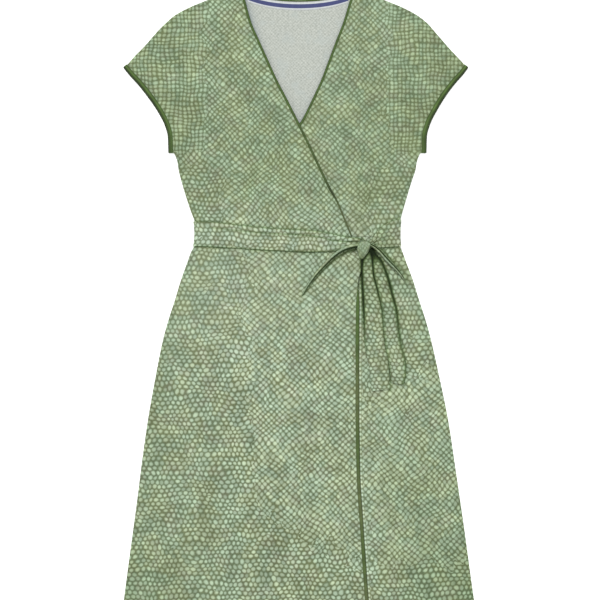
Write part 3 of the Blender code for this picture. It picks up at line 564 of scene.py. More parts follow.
def print_material():
    """Small pale dots on olive green; the wrong side is pale grey."""
    m = new_material("printed_cloth")
    n = Nodes(m)
    cut = n.attribute("cut", "Vector")
    kind = n.attribute("kind")
    shade = n.attribute("shade")
    wrong = n.attribute("wrong")

    depth = n.add("ShaderNodeSeparateXYZ")
    n.put(depth.inputs[0], cut)
    keep = n.math("SUBTRACT", 1.0, depth.outputs[2])      # how much of the print's contrast shows
    # less of the print shows where the painted shade is deep, so the painted shade lines stay smooth
    keep = n.math("MULTIPLY", keep, n.ramp(shade, 0.15, 0.80))

    # slow wander of the rows and small wobble of each dot
    slow = n.vec("SUBTRACT", n.noise(cut, 0.017, 1.0, "Color"), (0.5, 0.5, 0.5))
    fast = n.vec("SUBTRACT", n.noise(cut, 0.11, 1.0, "Color"), (0.5, 0.5, 0.5))
    p = n.vec("ADD", cut, n.vec("MULTIPLY", slow, (12.5, 12.5, 0.0)))
    medium = n.vec("SUBTRACT", n.noise(n.vec("ADD", cut, (57.0, 19.0, 0.0)), 0.042, 1.0, "Color"), (0.5, 0.5, 0.5))
    p = n.vec("ADD", p, n.vec("MULTIPLY", medium, (4.4, 4.4, 0.0)))
    p = n.vec("ADD", p, n.vec("MULTIPLY", fast, (1.6, 1.6, 0.0)))

    which = n.math("ADD", kind, n.math("MULTIPLY", n.math("SUBTRACT", n.noise(cut, 0.03, 2.0), 0.5), 1.5))
    diamond = n.math("GREATER_THAN", which, 0.5)
    square = n.math("GREATER_THAN", which, 1.5)
    turn = n.add("ShaderNodeVectorRotate", rotation_type="Z_AXIS")
    n.put(turn.inputs["Vector"], p)
    n.put(turn.inputs["Angle"], n.math("MULTIPLY", square, math.radians(45.0)))
    q0 = turn.outputs[0]
    cell = n.mixv(diamond, (8.5, 14.9, 1.0), (10.3, 10.3, 1.0))
    q = n.vec("DIVIDE", q0, cell)

    def lattice(offset, seed):
        shifted = n.vec("ADD", q, (offset, offset, 0.0))
        c = n.vec("FLOOR", shifted)
        w = n.add("ShaderNodeTexWhiteNoise", noise_dimensions="2D")
        n.put(w.inputs["Vector"], n.vec("ADD", c, (seed, seed * 1.7, 0.0)))
        f = n.vec("SUBTRACT", n.vec("SUBTRACT", shifted, c), (0.5, 0.5, 0.0))
        jitter = n.vec("MULTIPLY", n.vec("SUBTRACT", w.outputs["Color"], (0.5, 0.5, 0.5)), (0.11, 0.09, 0.0))
        d = n.vec("MULTIPLY", n.vec("SUBTRACT", f, jitter), cell)
        d = n.vec("MULTIPLY", d, (1.0, 1.0, 0.0))
        size = n.add("ShaderNodeSeparateColor")
        n.put(size.inputs[0], w.outputs["Color"])
        radius = n.math("ADD", n.math("MULTIPLY", size.outputs[2], 0.70), 2.75)
        return n.math("SUBTRACT", n.vec("LENGTH", d), radius), w.outputs["Value"], size.outputs[1]

    # the dots run smaller in patches, and over the bodice
    patch = n.ramp(n.noise(n.vec("ADD", cut, (19.0, 811.0, 0.0)), 0.021, 2.0), 0.36, 0.66, 0.12, -0.20)
    patch = n.math("ADD", patch, n.ramp(depth.outputs[1], 110.0, 190.0, 0.0, -0.18))

    d1, v1, g1 = lattice(0.0, 3.0)
    d2, v2, g2 = lattice(0.5, 41.0)
    second = n.math("LESS_THAN", d2, d1)
    dist = n.math("SUBTRACT", n.math("MINIMUM", d1, d2), patch)
    # one straight row of dots beside the skirt's bound edge
    off = n.math("SUBTRACT", n.attribute("row"), 10.0)
    step = n.math("FRACT", n.math("ADD", n.math("DIVIDE", depth.outputs[1], 7.3), n.math("MULTIPLY", n.noise(cut, 0.05, 1.0), 0.5)))
    pair = n.add("ShaderNodeCombineXYZ")
    n.put(pair.inputs[0], off)
    n.put(pair.inputs[1], n.math("MULTIPLY", n.math("SUBTRACT", step, 0.5), 6.4))
    in_row = n.math("SUBTRACT", n.vec("LENGTH", pair.outputs[0]), 2.2)
    near_row = n.ramp(n.math("ABSOLUTE", off), 3.0, 2.2)
    dist = n.mixf(near_row, dist, in_row)
    value = n.mixf(second, v1, v2)
    tint = n.mixf(second, g1, g2)
    dot = n.ramp(dist, 1.25, -1.75)

    # colour drifts in patches: mint and blue-green against yellow-olive
    drift = n.ramp(n.math("ADD", n.noise(cut, 0.022, 2.5), n.math("MULTIPLY", n.math("SUBTRACT", tint, 0.5), 0.16)),
                   0.36, 0.64)
    dusty = n.ramp(n.noise(n.vec("ADD", cut, (311.0, 97.0, 0.0)), 0.035, 2.0), 0.50, 0.72)
    bright = n.ramp(n.noise(n.vec("ADD", cut, (71.0, 523.0, 0.0)), 0.02, 4.0, rough=0.65), 0.28, 0.72, 0.89, 1.13)
    ground = n.mix(drift, PRINT["ground_cool"], PRINT["ground_warm"])
    ground = n.mix(n.math("MULTIPLY", dusty, 0.5), ground, PRINT["ground_dusty"])
    speck = n.ramp(n.noise(cut, 0.42, 1.0), 0.3, 0.7, 0.86, 1.16)
    ground = n.scaled(ground, speck)
    ground = n.scaled(ground, n.ramp(depth.outputs[1], 110.0, 190.0, 1.0, 1.10))
    pale = n.mix(drift, PRINT["dot_cool"], PRINT["dot_warm"])
    pale = n.mix(n.math("MULTIPLY", dusty, 0.45), pale, PRINT["dot_dusty"])
    pale = n.scaled(pale, n.ramp(value, 0.0, 1.0, 0.80, 1.14, "LINEAR"))
    faded = n.ramp(tint, 0.0, 0.16, 0.60, 1.0, "LINEAR")
    shown = n.math("ADD", n.math("MULTIPLY", n.math("MULTIPLY", dot, faded), keep),
                   n.math("MULTIPLY", n.math("SUBTRACT", 1.0, keep), n.ramp(shade, 0.25, 0.85, 0.14, 0.50)))
    colour = n.mix(shown, ground, pale)
    colour = n.scaled(colour, bright)
    # painted highlight: the dot row beside the skirt's bound edge is made 22% lighter
    colour = n.scaled(colour, n.math("ADD", n.math("MULTIPLY", near_row, 0.22), 1.0))

    wobble = n.vec("ADD", cut, n.vec("MULTIPLY", medium, (4.0, 4.0, 0.0)))
    net = n.add("ShaderNodeSeparateXYZ")
    n.put(net.inputs[0], wobble)
    rise = n.math("SINE", n.math("MULTIPLY", n.math("ADD", net.outputs[0], net.outputs[1]), 1.06))
    fall = n.math("SINE", n.math("MULTIPLY", n.math("SUBTRACT", net.outputs[0], net.outputs[1]), 1.06))
    knit = n.ramp(n.math("ADD", rise, fall), -1.3, 1.3)
    speckle = n.ramp(n.noise(n.vec("MULTIPLY", cut, (1.0, 1.25, 1.0)), 0.22, 3.0, rough=0.75), 0.36, 0.64)
    inside = n.mix(n.math("ADD", n.math("MULTIPLY", knit, 0.45), n.math("MULTIPLY", speckle, 0.55)),
                   PRINT["inside_gap"], PRINT["inside_dot"])
    inside = n.mix(n.ramp(n.noise(n.vec("ADD", cut, (140.0, 23.0, 0.0)), 0.04, 2.0), 0.5, 0.75, 0.0, 0.35),
                   inside, (0.440, 0.490, 0.468))
    colour = n.mix(wrong, colour, inside)
    # shade deepens towards green, as light does between folds of this cloth
    colour = n.vec("MULTIPLY", colour, n.mixv(wrong, n.tinted(shade, 1.22, 0.96, 1.55), n.tinted(shade, 1.2, 1.0, 0.75)))

    # plain weave, about two threads to the millimetre, under the print
    warp = n.add("ShaderNodeTexWave", wave_type="BANDS", bands_direction="X", wave_profile="SIN")
    weft = n.add("ShaderNodeTexWave", wave_type="BANDS", bands_direction="Y", wave_profile="SIN")
    for w in (warp, weft):
        n.put(w.inputs["Vector"], cut)
        w.inputs["Scale"].default_value = 0.62
        w.inputs["Distortion"].default_value = 0.6
        w.inputs["Detail"].default_value = 1.0
    height = n.math("ADD", n.math("MULTIPLY", n.math("ADD", warp.outputs["Fac"], weft.outputs["Fac"]), 0.5),
                    n.math("MULTIPLY", n.noise(cut, 0.9, 2.0), 0.8))
    height = n.math("ADD", height, n.math("MULTIPLY", dot, 0.6))
    n.finish(colour, n.mixf(dot, 0.9, 0.8), n.bump(height, 0.25, 0.0004), sheen=0.10, specular=0.2)
    return m


def binding_material(name, warm, cool):
    """Fine ribbed green binding, with painted shade darkening each edge."""
    m = new_material(name)
    n = Nodes(m)
    cut = n.attribute("cut", "Vector")        # along, across
    shade = n.attribute("shade")
    fade = n.attribute("kind")                # 0 green, 1 olive
    sep = n.add("ShaderNodeSeparateXYZ")
    n.put(sep.inputs[0], cut)
    twill = n.add("ShaderNodeTexWave", wave_type="BANDS", bands_direction="DIAGONAL", wave_profile="SIN")
    n.put(twill.inputs["Vector"], cut)
    twill.inputs["Scale"].default_value = 0.5
    twill.inputs["Distortion"].default_value = 0.8
    colour = n.mix(fade, warm, cool)
    colour = n.scaled(colour, n.ramp(n.noise(cut, 0.06, 3.0), 0.3, 0.7, 0.86, 1.14))
    colour = n.scaled(colour, n.ramp(twill.outputs["Fac"], 0.0, 1.0, 0.93, 1.05))
    # painted shade and highlight from the shade attribute
    colour = n.scaled(colour, shade)
    height = n.math("ADD", twill.outputs["Fac"], n.math("MULTIPLY", n.noise(cut, 0.9, 2.0), 0.7))
    n.finish(colour, 0.72, n.bump(height, 0.3, 0.0004), sheen=0.12, specular=0.3)
    return m


def tape_material():
    """Back neck tape: blue between white edges, finely ribbed."""
    m = new_material("neck_tape")
    n = Nodes(m)
    cut = n.attribute("cut", "Vector")        # along in mm, across from 0 to 1
    shade = n.attribute("shade")
    sep = n.add("ShaderNodeSeparateXYZ")
    n.put(sep.inputs[0], cut)
    across = sep.outputs[1]
    blue = n.math("MULTIPLY", n.ramp(across, 0.22, 0.26), n.ramp(across, 0.78, 0.74))
    rib = n.add("ShaderNodeTexWave", wave_type="BANDS", bands_direction="X", wave_profile="SIN")
    n.put(rib.inputs["Vector"], cut)
    rib.inputs["Scale"].default_value = 0.32
    blend = n.mix(blue, (0.60, 0.63, 0.63), (0.055, 0.066, 0.175))
    colour = n.scaled(blend, n.ramp(rib.outputs["Fac"], 0.0, 1.0, 0.92, 1.04))
    colour = n.scaled(colour, n.ramp(n.noise(cut, 0.12, 2.0), 0.3, 0.7, 0.95, 1.05))
    # painted shade from the shade attribute
    colour = n.scaled(colour, shade)
    n.finish(colour, 0.7, n.bump(rib.outputs["Fac"], 0.4, 0.0003), sheen=0.1, specular=0.3)
    return m


def plain_material(name, colour, rough):
    m = new_material(name)
    n = Nodes(m)
    where = n.add("ShaderNodeTexCoord").outputs["Object"]
    tone = n.noise(where, 900.0, 2.0)
    n.finish(n.scaled(colour, n.ramp(tone, 0.3, 0.7, 0.85, 1.1)), rough, n.bump(tone, 0.3, 0.0002))
    return m


PRINT = {
    "ground_cool": (0.112, 0.149, 0.078), "ground_warm": (0.124, 0.147, 0.067), "ground_dusty": (0.131, 0.135, 0.079),
    "dot_cool": (0.400, 0.517, 0.368), "dot_warm": (0.424, 0.513, 0.338), "dot_dusty": (0.421, 0.486, 0.357),
    "inside_gap": (0.360, 0.385, 0.342), "inside_dot": (0.535, 0.560, 0.510),
}
printed = print_material()
green = binding_material("green_binding", (0.070, 0.124, 0.026), (0.118, 0.148, 0.054))
taped = tape_material()
thread = plain_material("thread", (0.10, 0.14, 0.05), 0.7)
pale_thread = plain_material("pale_thread", (0.55, 0.57, 0.55), 0.7)


# --------------------------------------------------------------------- meshes
def mesh_from(name, verts, faces, material, cut, kind=None, shade=None, wrong=None, uv=None):
    """Object from arrays in mm; cut, kind, shade and wrong are per point, uv per point or per corner."""
    verts = np.asarray(verts, float).reshape(-1, 3)
    faces = np.asarray(faces, np.int32)
    mesh = bpy.data.meshes.new(name)
    mesh.vertices.add(len(verts))
    mesh.vertices.foreach_set("co", (verts * MM).astype(np.float32).ravel())
    mesh.loops.add(faces.size)
    mesh.loops.foreach_set("vertex_index", faces.ravel())
    mesh.polygons.add(len(faces))
    width = faces.shape[1]
    mesh.polygons.foreach_set("loop_start", np.arange(len(faces), dtype=np.int32) * width)
    mesh.polygons.foreach_set("use_smooth", np.ones(len(faces), bool))
    mesh.update(calc_edges=True)
    mesh.validate()
    n = len(verts)
    cut3 = np.zeros((n, 3))
    cut3[:, :2] = np.asarray(cut, float).reshape(-1, 2)
    mesh.attributes.new("cut", "FLOAT_VECTOR", "POINT").data.foreach_set("vector", cut3.astype(np.float32).ravel())
    for key, value in (("kind", kind), ("shade", shade), ("wrong", wrong)):
        default = 1.0 if key == "shade" else 0.0
        data = np.full(n, default) if value is None else np.asarray(value, float).ravel()
        mesh.attributes.new(key, "FLOAT", "POINT").data.foreach_set("value", data.astype(np.float32))
    if uv is not None:
        layer = mesh.uv_layers.new(name="OFBake")
        uv = np.asarray(uv, float).reshape(-1, 2)
        per_corner = uv[faces.ravel()] if len(uv) == n else uv
        layer.data.foreach_set("uv", per_corner.astype(np.float32).ravel())
    mesh.set_sharp_from_angle(angle=math.radians(65))
    mesh.materials.append(material)
    obj = bpy.data.objects.new(name, mesh)
    bpy.context.scene.collection.objects.link(obj)
    return obj


def grid_faces(n, m, start=0, flip=False):
    i, j = np.meshgrid(np.arange(n - 1), np.arange(m - 1), indexing="ij")
    a = start + i * m + j
    q = np.stack([a, a + m, a + m + 1, a + 1], -1).reshape(-1, 4)
    return q[:, ::-1] if flip else q


def shell(name, outer, inner, material, cut, kind, shade, up=True):
    """Closed sheet between two grids of points (rows, columns, 3); outer is the printed face."""
    n, m = outer.shape[:2]
    count = n * m
    verts = np.concatenate([outer.reshape(-1, 3), inner.reshape(-1, 3)])
    # rows run downwards, columns to the right: this winding faces up
    faces = [grid_faces(n, m, 0, flip=not up), grid_faces(n, m, count, flip=up)]
    ring = np.concatenate([np.arange(m), np.arange(1, n) * m + m - 1,
                           (n - 1) * m + np.arange(m - 2, -1, -1), np.arange(n - 2, 0, -1) * m])
    nxt = np.roll(ring, -1)
    rim = np.stack([ring, nxt, nxt + count, ring + count], 1)
    faces.append(rim if up else rim[:, ::-1])
    faces = np.concatenate(faces)
    cut2 = np.concatenate([cut.reshape(-1, 2)] * 2)
    both = lambda a: np.concatenate([np.asarray(a, float).ravel()] * 2)
    wrong = np.concatenate([np.zeros(count), np.ones(count)])
    # bake layout: printed face above, wrong side below
    lo, hi = cut.reshape(-1, 2).min(0), cut.reshape(-1, 2).max(0)
    unit = (cut.reshape(-1, 2) - lo) / (hi - lo)
    face_uv = np.stack([0.01 + 0.98 * unit[:, 0], 0.27 + 0.72 * unit[:, 1]], 1)
    back_uv = np.stack([0.01 + 0.98 * unit[:, 0], 0.015 + 0.235 * unit[:, 1]], 1)
    obj = mesh_from(name, verts, faces, material, cut2, both(kind), both(shade), wrong,
                    np.concatenate([face_uv, back_uv]))
    return obj


def tube(name, centres, across, normal, profile, material, cut_scale=(1.0, 1.0), closed=False, shade=None,
         kind=None, scale=None, lifts=None, cut_of=None, wrong=None):
    """Sweep of a closed profile (across, up) along centres; returns the object.
    scale is per station (across, up); lifts is an extra (stations, points) rise along the normal."""
    centres, across, normal = (np.asarray(a, float) for a in (centres, across, normal))
    profile = np.asarray(profile, float)
    n, m = len(centres), len(profile)
    scale = np.ones((n, 2)) if scale is None else np.asarray(scale, float)
    s = profile[None, :, 0] * scale[:, None, 0]
    h = profile[None, :, 1] * scale[:, None, 1]
    if lifts is not None:
        h = h + lifts
    verts = centres[:, None] + across[:, None] * s[..., None] + normal[:, None] * h[..., None]
    along = np.concatenate([[0], np.cumsum(np.linalg.norm(np.diff(centres, axis=0), axis=1))])
    if cut_of is None:
        cut = np.stack([np.broadcast_to(along[:, None] * cut_scale[0], (n, m)), s * cut_scale[1]], -1)
    else:
        cut = cut_of
    faces = []
    last = n if closed else n - 1
    i = np.arange(last)
    for k in range(m):
        a, b = i * m + k, i * m + (k + 1) % m
        c, d = ((i + 1) % n) * m + (k + 1) % m, ((i + 1) % n) * m + k
        faces.append(np.stack([a, b, c, d], 1))
    faces = np.concatenate(faces)
    v = verts.reshape(-1, 3)
    extra_cut = cut.reshape(-1, 2)
    shade = np.ones((n, m)) if shade is None else np.broadcast_to(shade, (n, m))
    kind = np.zeros((n, m)) if kind is None else np.broadcast_to(kind, (n, m))
    wrong = np.zeros((n, m)) if wrong is None else np.broadcast_to(wrong, (n, m))
    sh, kd, wr = (a.reshape(-1).copy() for a in (shade, kind, wrong))
    # long strips wrap into rows on the bake layout
    bands = 6 if n > 60 else 2
    per = int(math.ceil(n / bands))
    corner = np.zeros((len(faces), 4, 2))
    fi = np.tile(i, m)
    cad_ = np.repeat(np.arange(m), last)
    band, pos = fi // per, fi % per
    for c, (di, dk) in enumerate(((0, 0), (0, 1), (1, 1), (1, 0))):
        corner[:, c, 0] = 0.01 + 0.97 * (pos + di) / per
        corner[:, c, 1] = (band + 0.02 + 0.93 * (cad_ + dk) / m) / bands * 0.97
    if not closed:
        base = len(v)
        ends = np.stack([v[:m].mean(0), v[-m:].mean(0)])
        v = np.concatenate([v, ends])
        extra_cut = np.concatenate([extra_cut, extra_cut[:m].mean(0)[None], extra_cut[-m:].mean(0)[None]])
        sh, kd, wr = (np.append(a, [a[0], a[-1]]) for a in (sh, kd, wr))
        caps, cap_uv = [], []
        for k in range(0, m, 1):
            caps.append([base, (k + 1) % m, k, k])
            caps.append([base + 1, (n - 1) * m + k, (n - 1) * m + (k + 1) % m, (n - 1) * m + (k + 1) % m])
        caps = np.array(caps)
        # caps as triangles kept apart, so quads stay quads
        tri = caps[:, :3]
        return strip_object(name, v, faces, tri, material, extra_cut, kd, sh, wr, corner)
    return mesh_from(name, v, faces, material, extra_cut, kd, sh, wr, corner.reshape(-1, 2))


def strip_object(name, v, quads, tris, material, cut, kind, shade, wrong, corner):
    obj = mesh_from(name, v, quads, material, cut, kind, shade, wrong, corner.reshape(-1, 2))
    import bmesh
    bm = bmesh.new()
    bm.from_mesh(obj.data)
    bm.verts.ensure_lookup_table()
    layer = bm.loops.layers.uv.get("OFBake")
    for t in tris:
        try:
            f = bm.faces.new([bm.verts[int(k)] for k in t])
        except ValueError:
            continue
        f.smooth = True
        for l, p in zip(f.loops, ((0.990, 0.990), (0.998, 0.990), (0.994, 0.998))):
            l[layer].uv = p
    bmesh.ops.recalc_face_normals(bm, faces=bm.faces[:])
    bm.to_mesh(obj.data)
    bm.free()
    obj.data.set_sharp_from_angle(angle=math.radians(65))
    return obj


def soften(obj, amount, field=None):
    """Keeps less of the print's contrast where the cloth is wrapped tight or strained."""
    data = obj.data.attributes["cut"].data
    values = np.empty(len(data) * 3, np.float32)
    data.foreach_get("vector", values)
    values[2::3] = amount
    if field is not None:
        co = np.empty(len(obj.data.vertices) * 3, np.float32)
        obj.data.vertices.foreach_get("co", co)
        values[2::3] += field(co[0::3] / MM, co[1::3] / MM).astype(np.float32)
    data.foreach_set("vector", values)
    return obj


def dot_row(obj, line, offset):
    """Marks a straight row of dots at a distance from a line; 10 is the row's middle."""
    mesh = obj.data
    co = np.empty(len(mesh.vertices) * 3, np.float32)
    mesh.vertices.foreach_get("co", co)
    x, y = co[0::3] / MM, co[1::3] / MM
    values = (10 + np.clip(x - line(y) - offset, -9, 9)).astype(np.float32)
    mesh.attributes.new("row", "FLOAT", "POINT").data.foreach_set("value", values)


def face_out(obj):
    import bmesh
    bm = bmesh.new()
    bm.from_mesh(obj.data)
    bmesh.ops.recalc_face_normals(bm, faces=bm.faces[:])
    bm.to_mesh(obj.data)
    bm.free()
    return obj


def spaced(a, b, step, zones=()):
    """Positions from a to b about step apart, closer inside the zones (low, high, step)."""
    out, v = [a], a
    direction = 1.0 if b > a else -1.0
    while True:
        s = step
        for low, high, fine in zones:
            if low <= v <= high:
                s = min(s, fine)
        v += direction * s
        if (b - v) * direction <= 0.35 * s:
            break
        out.append(v)
    out.append(b)
    return np.array(out)


SEAM_OFFSETS = np.array([0.0, 0.25, 0.7, 1.4, 2.6, 4.4])


def columns(left, right, inner, scale_left, scale_right, roll_left, roll_right, anchors=None):
    """x of each column on one row: close to the rolled edges, then evenly between."""
    start = left + SEAM_OFFSETS * scale_left if roll_left else np.array([left])
    stop = right - SEAM_OFFSETS[::-1] * scale_right if roll_right else np.array([right])
    body = start[-1] + (stop[0] - start[-1]) * inner
    return np.concatenate([start, body[1:-1], stop])


def rolled(top, middle, distance, radius=1.5):
    """Height of the cloth where it turns down into a side or shoulder seam."""
    t = np.clip(distance / radius, 0.0, 1.0)
    return middle + (top - middle) * np.sqrt(np.clip(1 - (1 - t) ** 2, 0, 1))


def seam_share(y):
    """1 where the side edge is sewn, 0 along the open armhole."""
    return np.where((y > 401.0) | (y < 252.0), 1.0, 0.0)


def front_panel(name, rows, left_of, right_of, top_of, fractions, roll_left, roll_right, lattice,
                dot_scale=1.0, offset=(0.0, 0.0), highlight_edge=None):
    """Front panel with its printed face up."""
    xs = []
    for y in rows:
        l, r = float(left_of(y)), float(right_of(y))
        sl = min(float(slope_scale(lambda v: edge(-1, v), y)), 3.0) if y > 405 or y < 250 else 1.0
        sr = min(float(slope_scale(lambda v: edge(1, v), y)), 3.0) if y > 405 or y < 250 else 1.0
        f = fractions(y, l, r) if callable(fractions) else fractions
        xs.append(columns(l, r, f, sl, sr, roll_left, roll_right))
    x = np.array(xs)
    y = np.repeat(np.asarray(rows, float)[:, None], x.shape[1], 1)
    top = top_of(x, y)
    relief, dark = creases(x, y, FRONT_CREASES, 11)
    top = top + relief
    middle = 1.35 + lift(y)
    distance = np.full(x.shape, 99.0)
    for on, side in ((roll_left, -1), (roll_right, 1)):
        if on:
            e = edge(side, y)
            sc = np.minimum(slope_scale(lambda v: edge(side, v), y), 3.0)
            d = np.abs(x - e) / np.where((y > 405) | (y < 250), sc, 1.0)
            distance = np.minimum(distance, np.where(seam_share(y) > 0, d, 99.0))
    z = rolled(top, middle, distance)
    outer = np.stack([x, y, z], -1)
    pull = np.where(distance < 1.5, WALL * 0.6 * (1 - distance / 1.5), 0.0)
    inner = outer.copy()
    inner[..., 2] -= WALL * np.clip(0.25 + distance / 1.5, 0, 1)
    centre = 0.5 * (x.min() + x.max())
    inner[..., 0] += np.where(x < centre, pull, -pull)
    # painted shade from the creases, the belt and bow, the hem's corners and sides and the rolled seams, times the
    # painted light and shade of tone()
    shade = (1 - np.clip(dark + panel_shade(x, y) + corner_shade(x, y), 0, 0.97))
    shade = shade * (0.9 + 0.1 * np.clip(distance / 1.0, 0, 1)) * tone(x, y)
    # painted highlight on the under skirt just beside the over skirt's bound edge
    if highlight_edge is not None:
        d = x - highlight_edge(y)
        shade = shade * (1 + 0.10 * np.exp(-((d - 2.6) / 1.6) ** 2))
    cut = np.stack([(x + offset[0]) / dot_scale, (y + offset[1]) / dot_scale], -1)
    return shell(name, outer, inner, printed, cut, lattice(x, y), shade, up=True)


def under_top(x, y):
    return FRONT_Z + CLOTH + lift(y) + crown_at(x, y) - 0.1


def over_top_with(hidden_of, free_of):
    return lambda x, y: under_top(x, y) + step_at(x, y, hidden_of(y), free_of(y))


bodice_rows = spaced(526.0, SEAM_Y + 0.2, 3.0, [(398.0, 404.5, 1.0), (250.0, 255.0, 1.2), (136.0, 200.0, 2.4)])
skirt_rows = np.concatenate([
    spaced(SEAM_Y - 0.2, -160.0, 2.6, [(8.0, 97.0, 2.0)]),
    spaced(-160.0, HEM_Y + 17.5, 4.4)[1:],
    HEM_Y + np.array([16.2, 15.4, 15.0, 14.6, 13.8, 12.0, 8.0, 4.0, 1.6, 0.6, 0.0])])


def even(count):
    line = np.linspace(0, 1, count)
    return lambda y, l, r: line


def fine_part(fine_low, fine_high, fine_step, step, reference):
    """Fractions of a row that are closer together between two x positions."""
    low, high = reference
    x = spaced(low, high, step, [(fine_low, fine_high, fine_step)])
    return lambda y, l, r: (x - low) / (high - low)


def hem_top(f):
    """The turned-up hem: two layers thick, held by one row of stitches."""
    def g(x, y):
        above = y - HEM_Y
        turned = 0.35 * smoothstep(17.0, 15.0, above)
        stitch = -0.28 * np.exp(-((above - 15.0) / 0.8) ** 2)
        pucker = 0.10 * np.sin(x * 0.8 + 1.3 * np.sin(x * 0.11)) * np.exp(-((above - 13.0) / 5.0) ** 2)
        edge_drop = -0.5 * (1 - np.sqrt(np.clip(1 - (1 - np.clip(above / 1.4, 0, 1)) ** 2, 0, 1)))
        return f(x, y) + turned + stitch + pucker + edge_drop
    return g


# ------------------------------------------------------------- front panels
over_free_b = lambda y: neck_over(y) - 1.0
over_bodice = front_panel(
    "over_front_bodice", bodice_rows, lambda y: edge(-1, y), over_free_b,
    over_top_with(neck_under, neck_over), even(84), True, False, lattice_bodice, 1.0 / 1.06)
under_free_b = lambda y: neck_under(y) + 1.0
under_bodice = front_panel(
    "under_front_bodice", bodice_rows, under_free_b, lambda y: edge(1, y),
    under_top, even(90), False, True, lattice_bodice, 1.0 / 1.06, (3.0, 1.7))
over_skirt = front_panel(
    "over_front_skirt", skirt_rows, lambda y: edge(-1, y), lambda y: skirt_over(y) - 1.0,
    hem_top(over_top_with(skirt_under, skirt_over)), fine_part(0.0, 97.0, 2.0, 5.0, (-215.0, 97.0)),
    True, False, lattice_skirt)
under_skirt = front_panel(
    "under_front_skirt", skirt_rows, lambda y: skirt_under(y) + 0.0, lambda y: edge(1, y),
    hem_top(under_top), fine_part(95.0, 186.0, 1.7, 6.0, (-100.0, 205.0)), False, True, lattice_skirt,
    1.0, (1.3, 2.2), highlight_edge=lambda y: skirt_over(y) + SKIRT_BIND_W / 2)
dot_row(under_skirt, skirt_over, 4.9)


# -------------------------------------------------------------- back panels
def back_panel(name, rows, inner_columns, neck, lattice, dot_scale, offset):
    """Back panel: printed face down, wrong side up."""
    xs = []
    for y in rows:
        l, r = float(edge(-1, y)), float(edge(1, y))
        if y >= 525.9:
            l, r = -105.0, 102.0
        s = min(float(slope_scale(lambda v: edge(-1, v), y)), 3.0) if y > 405 or y < 250 else 1.0
        xs.append(columns(l, r, np.linspace(0, 1, inner_columns), s, s, True, True))
    x = np.array(xs)
    y = np.repeat(np.asarray(rows, float)[:, None], x.shape[1], 1)
    base_y = y.copy()
    if neck:
        drop = np.minimum(back_neck(x[0]) - 2.4 - 526.0, 0.0)
        away = smoothstep(430.0, 526.0, y)
        y = y + away * drop[None, :]
    distance = np.full(x.shape, 99.0)
    for side in (-1, 1):
        e = edge(side, base_y)
        sc = np.minimum(slope_scale(lambda v: edge(side, v), base_y), 3.0)
        d = np.abs(x - e) / np.where((base_y > 405) | (base_y < 250), sc, 1.0)
        distance = np.minimum(distance, np.where(seam_share(base_y) > 0, d, 99.0))
    relief, dark = creases(x, y, BACK_CREASES, 29)
    low = lift(y) + 0.05
    above = y - HEM_Y
    wave = np.clip(0.28 + relief * 0.28, 0.0, 0.7) * smoothstep(0.0, 10.0, distance)
    face = low + wave
    turned = 0.35 * smoothstep(17.0, 15.0, above)
    face_z = rolled(face, 1.25 + lift(y), distance, 1.2)
    printed_side = np.stack([x, y, face_z], -1)
    wrong_side = printed_side.copy()
    wrong_side[..., 2] += (WALL + turned) * np.clip(0.2 + distance / 1.2, 0, 1)
    pull = np.where(distance < 1.2, WALL * 0.5 * (1 - distance / 1.2), 0.0)
    wrong_side[..., 0] += np.where(x < 0, pull, -pull)
    # painted shade along the back's creases; inside the neck: painted shade under the tape, beside the fronts' edges
    # and into the vee, and slow painted light and shade over the wrong side
    shade = 1 - np.clip(dark, 0, 0.5)
    drape_light_and_shade = 0.02 * hills(x, y, 77, 70.0)
    if neck:
        over_side = np.exp(-np.clip(x - neck_over(y) - 2.0, 0, 99) / 6.0) * (0.04 + 0.30 * smoothstep(380.0, 500.0, y))
        under_side = np.exp(-np.clip(neck_under(y) - x - 2.0, 0, 99) / 6.0) * 0.05
        vee = 0.12 * np.exp(-np.clip(y - 302.0, 0, 400) / 18.0)
        inner_shade = 1 - over_side - under_side - vee + drape_light_and_shade
    else:
        inner_shade = np.ones(x.shape)
    cut = np.stack([(x + offset[0]) / dot_scale, (y + offset[1]) / dot_scale], -1)
    obj = shell(name, printed_side, wrong_side, printed, cut, lattice(x, y), shade, up=False)
    values = np.concatenate([shade.ravel(), inner_shade.ravel()]).astype(np.float32)
    obj.data.attributes["shade"].data.foreach_set("value", values)
    return obj


back_rows_b = spaced(526.0, SEAM_Y + 0.2, 4.0, [(398.0, 404.5, 1.2), (250.0, 255.0, 1.4)])
back_rows_s = np.concatenate([spaced(SEAM_Y - 0.2, HEM_Y + 17.5, 5.0),
                              HEM_Y + np.array([16.2, 15.4, 15.0, 14.6, 13.8, 10.0, 5.0, 1.6, 0.6, 0.0])])
back_bodice = back_panel("back_bodice_cloth", back_rows_b, 108, True, lattice_bodice, 1.0 / 1.06, (900.0, 40.0))
back_skirt = back_panel("back_skirt_cloth", back_rows_s, 100, False, lattice_skirt, 1.0, (911.0, 17.0))
soften(over_bodice, 0.14)
soften(under_bodice, 0.20)
soften(back_bodice, 0.16)
hips = lambda x, y: 0.14 * smoothstep(-130.0, 10.0, y) + 0.08 * smoothstep(-90.0, -150.0, x)
soften(over_skirt, 0.05, hips)
soften(under_skirt, 0.08, hips)
soften(back_skirt, 0.05)


# ------------------------------------------------------------------ bindings
def band_profile(width, height, ridge=0.25, points=9):
    """Rounded band: across from 0 (outer edge) to width, up from 0."""
    s = np.linspace(0, 1, points)
    top = height * (1 - np.abs(2 * s - 1) ** 3.2) ** 0.5
    top = top + ridge * np.exp(-((s - 0.5) / 0.16) ** 2)
    upper = np.stack([s * width, top], 1)
    lower = np.stack([s[::-1] * width, np.full(points, 0.0)], 1)
    return np.concatenate([upper, lower[1:-1]]), s


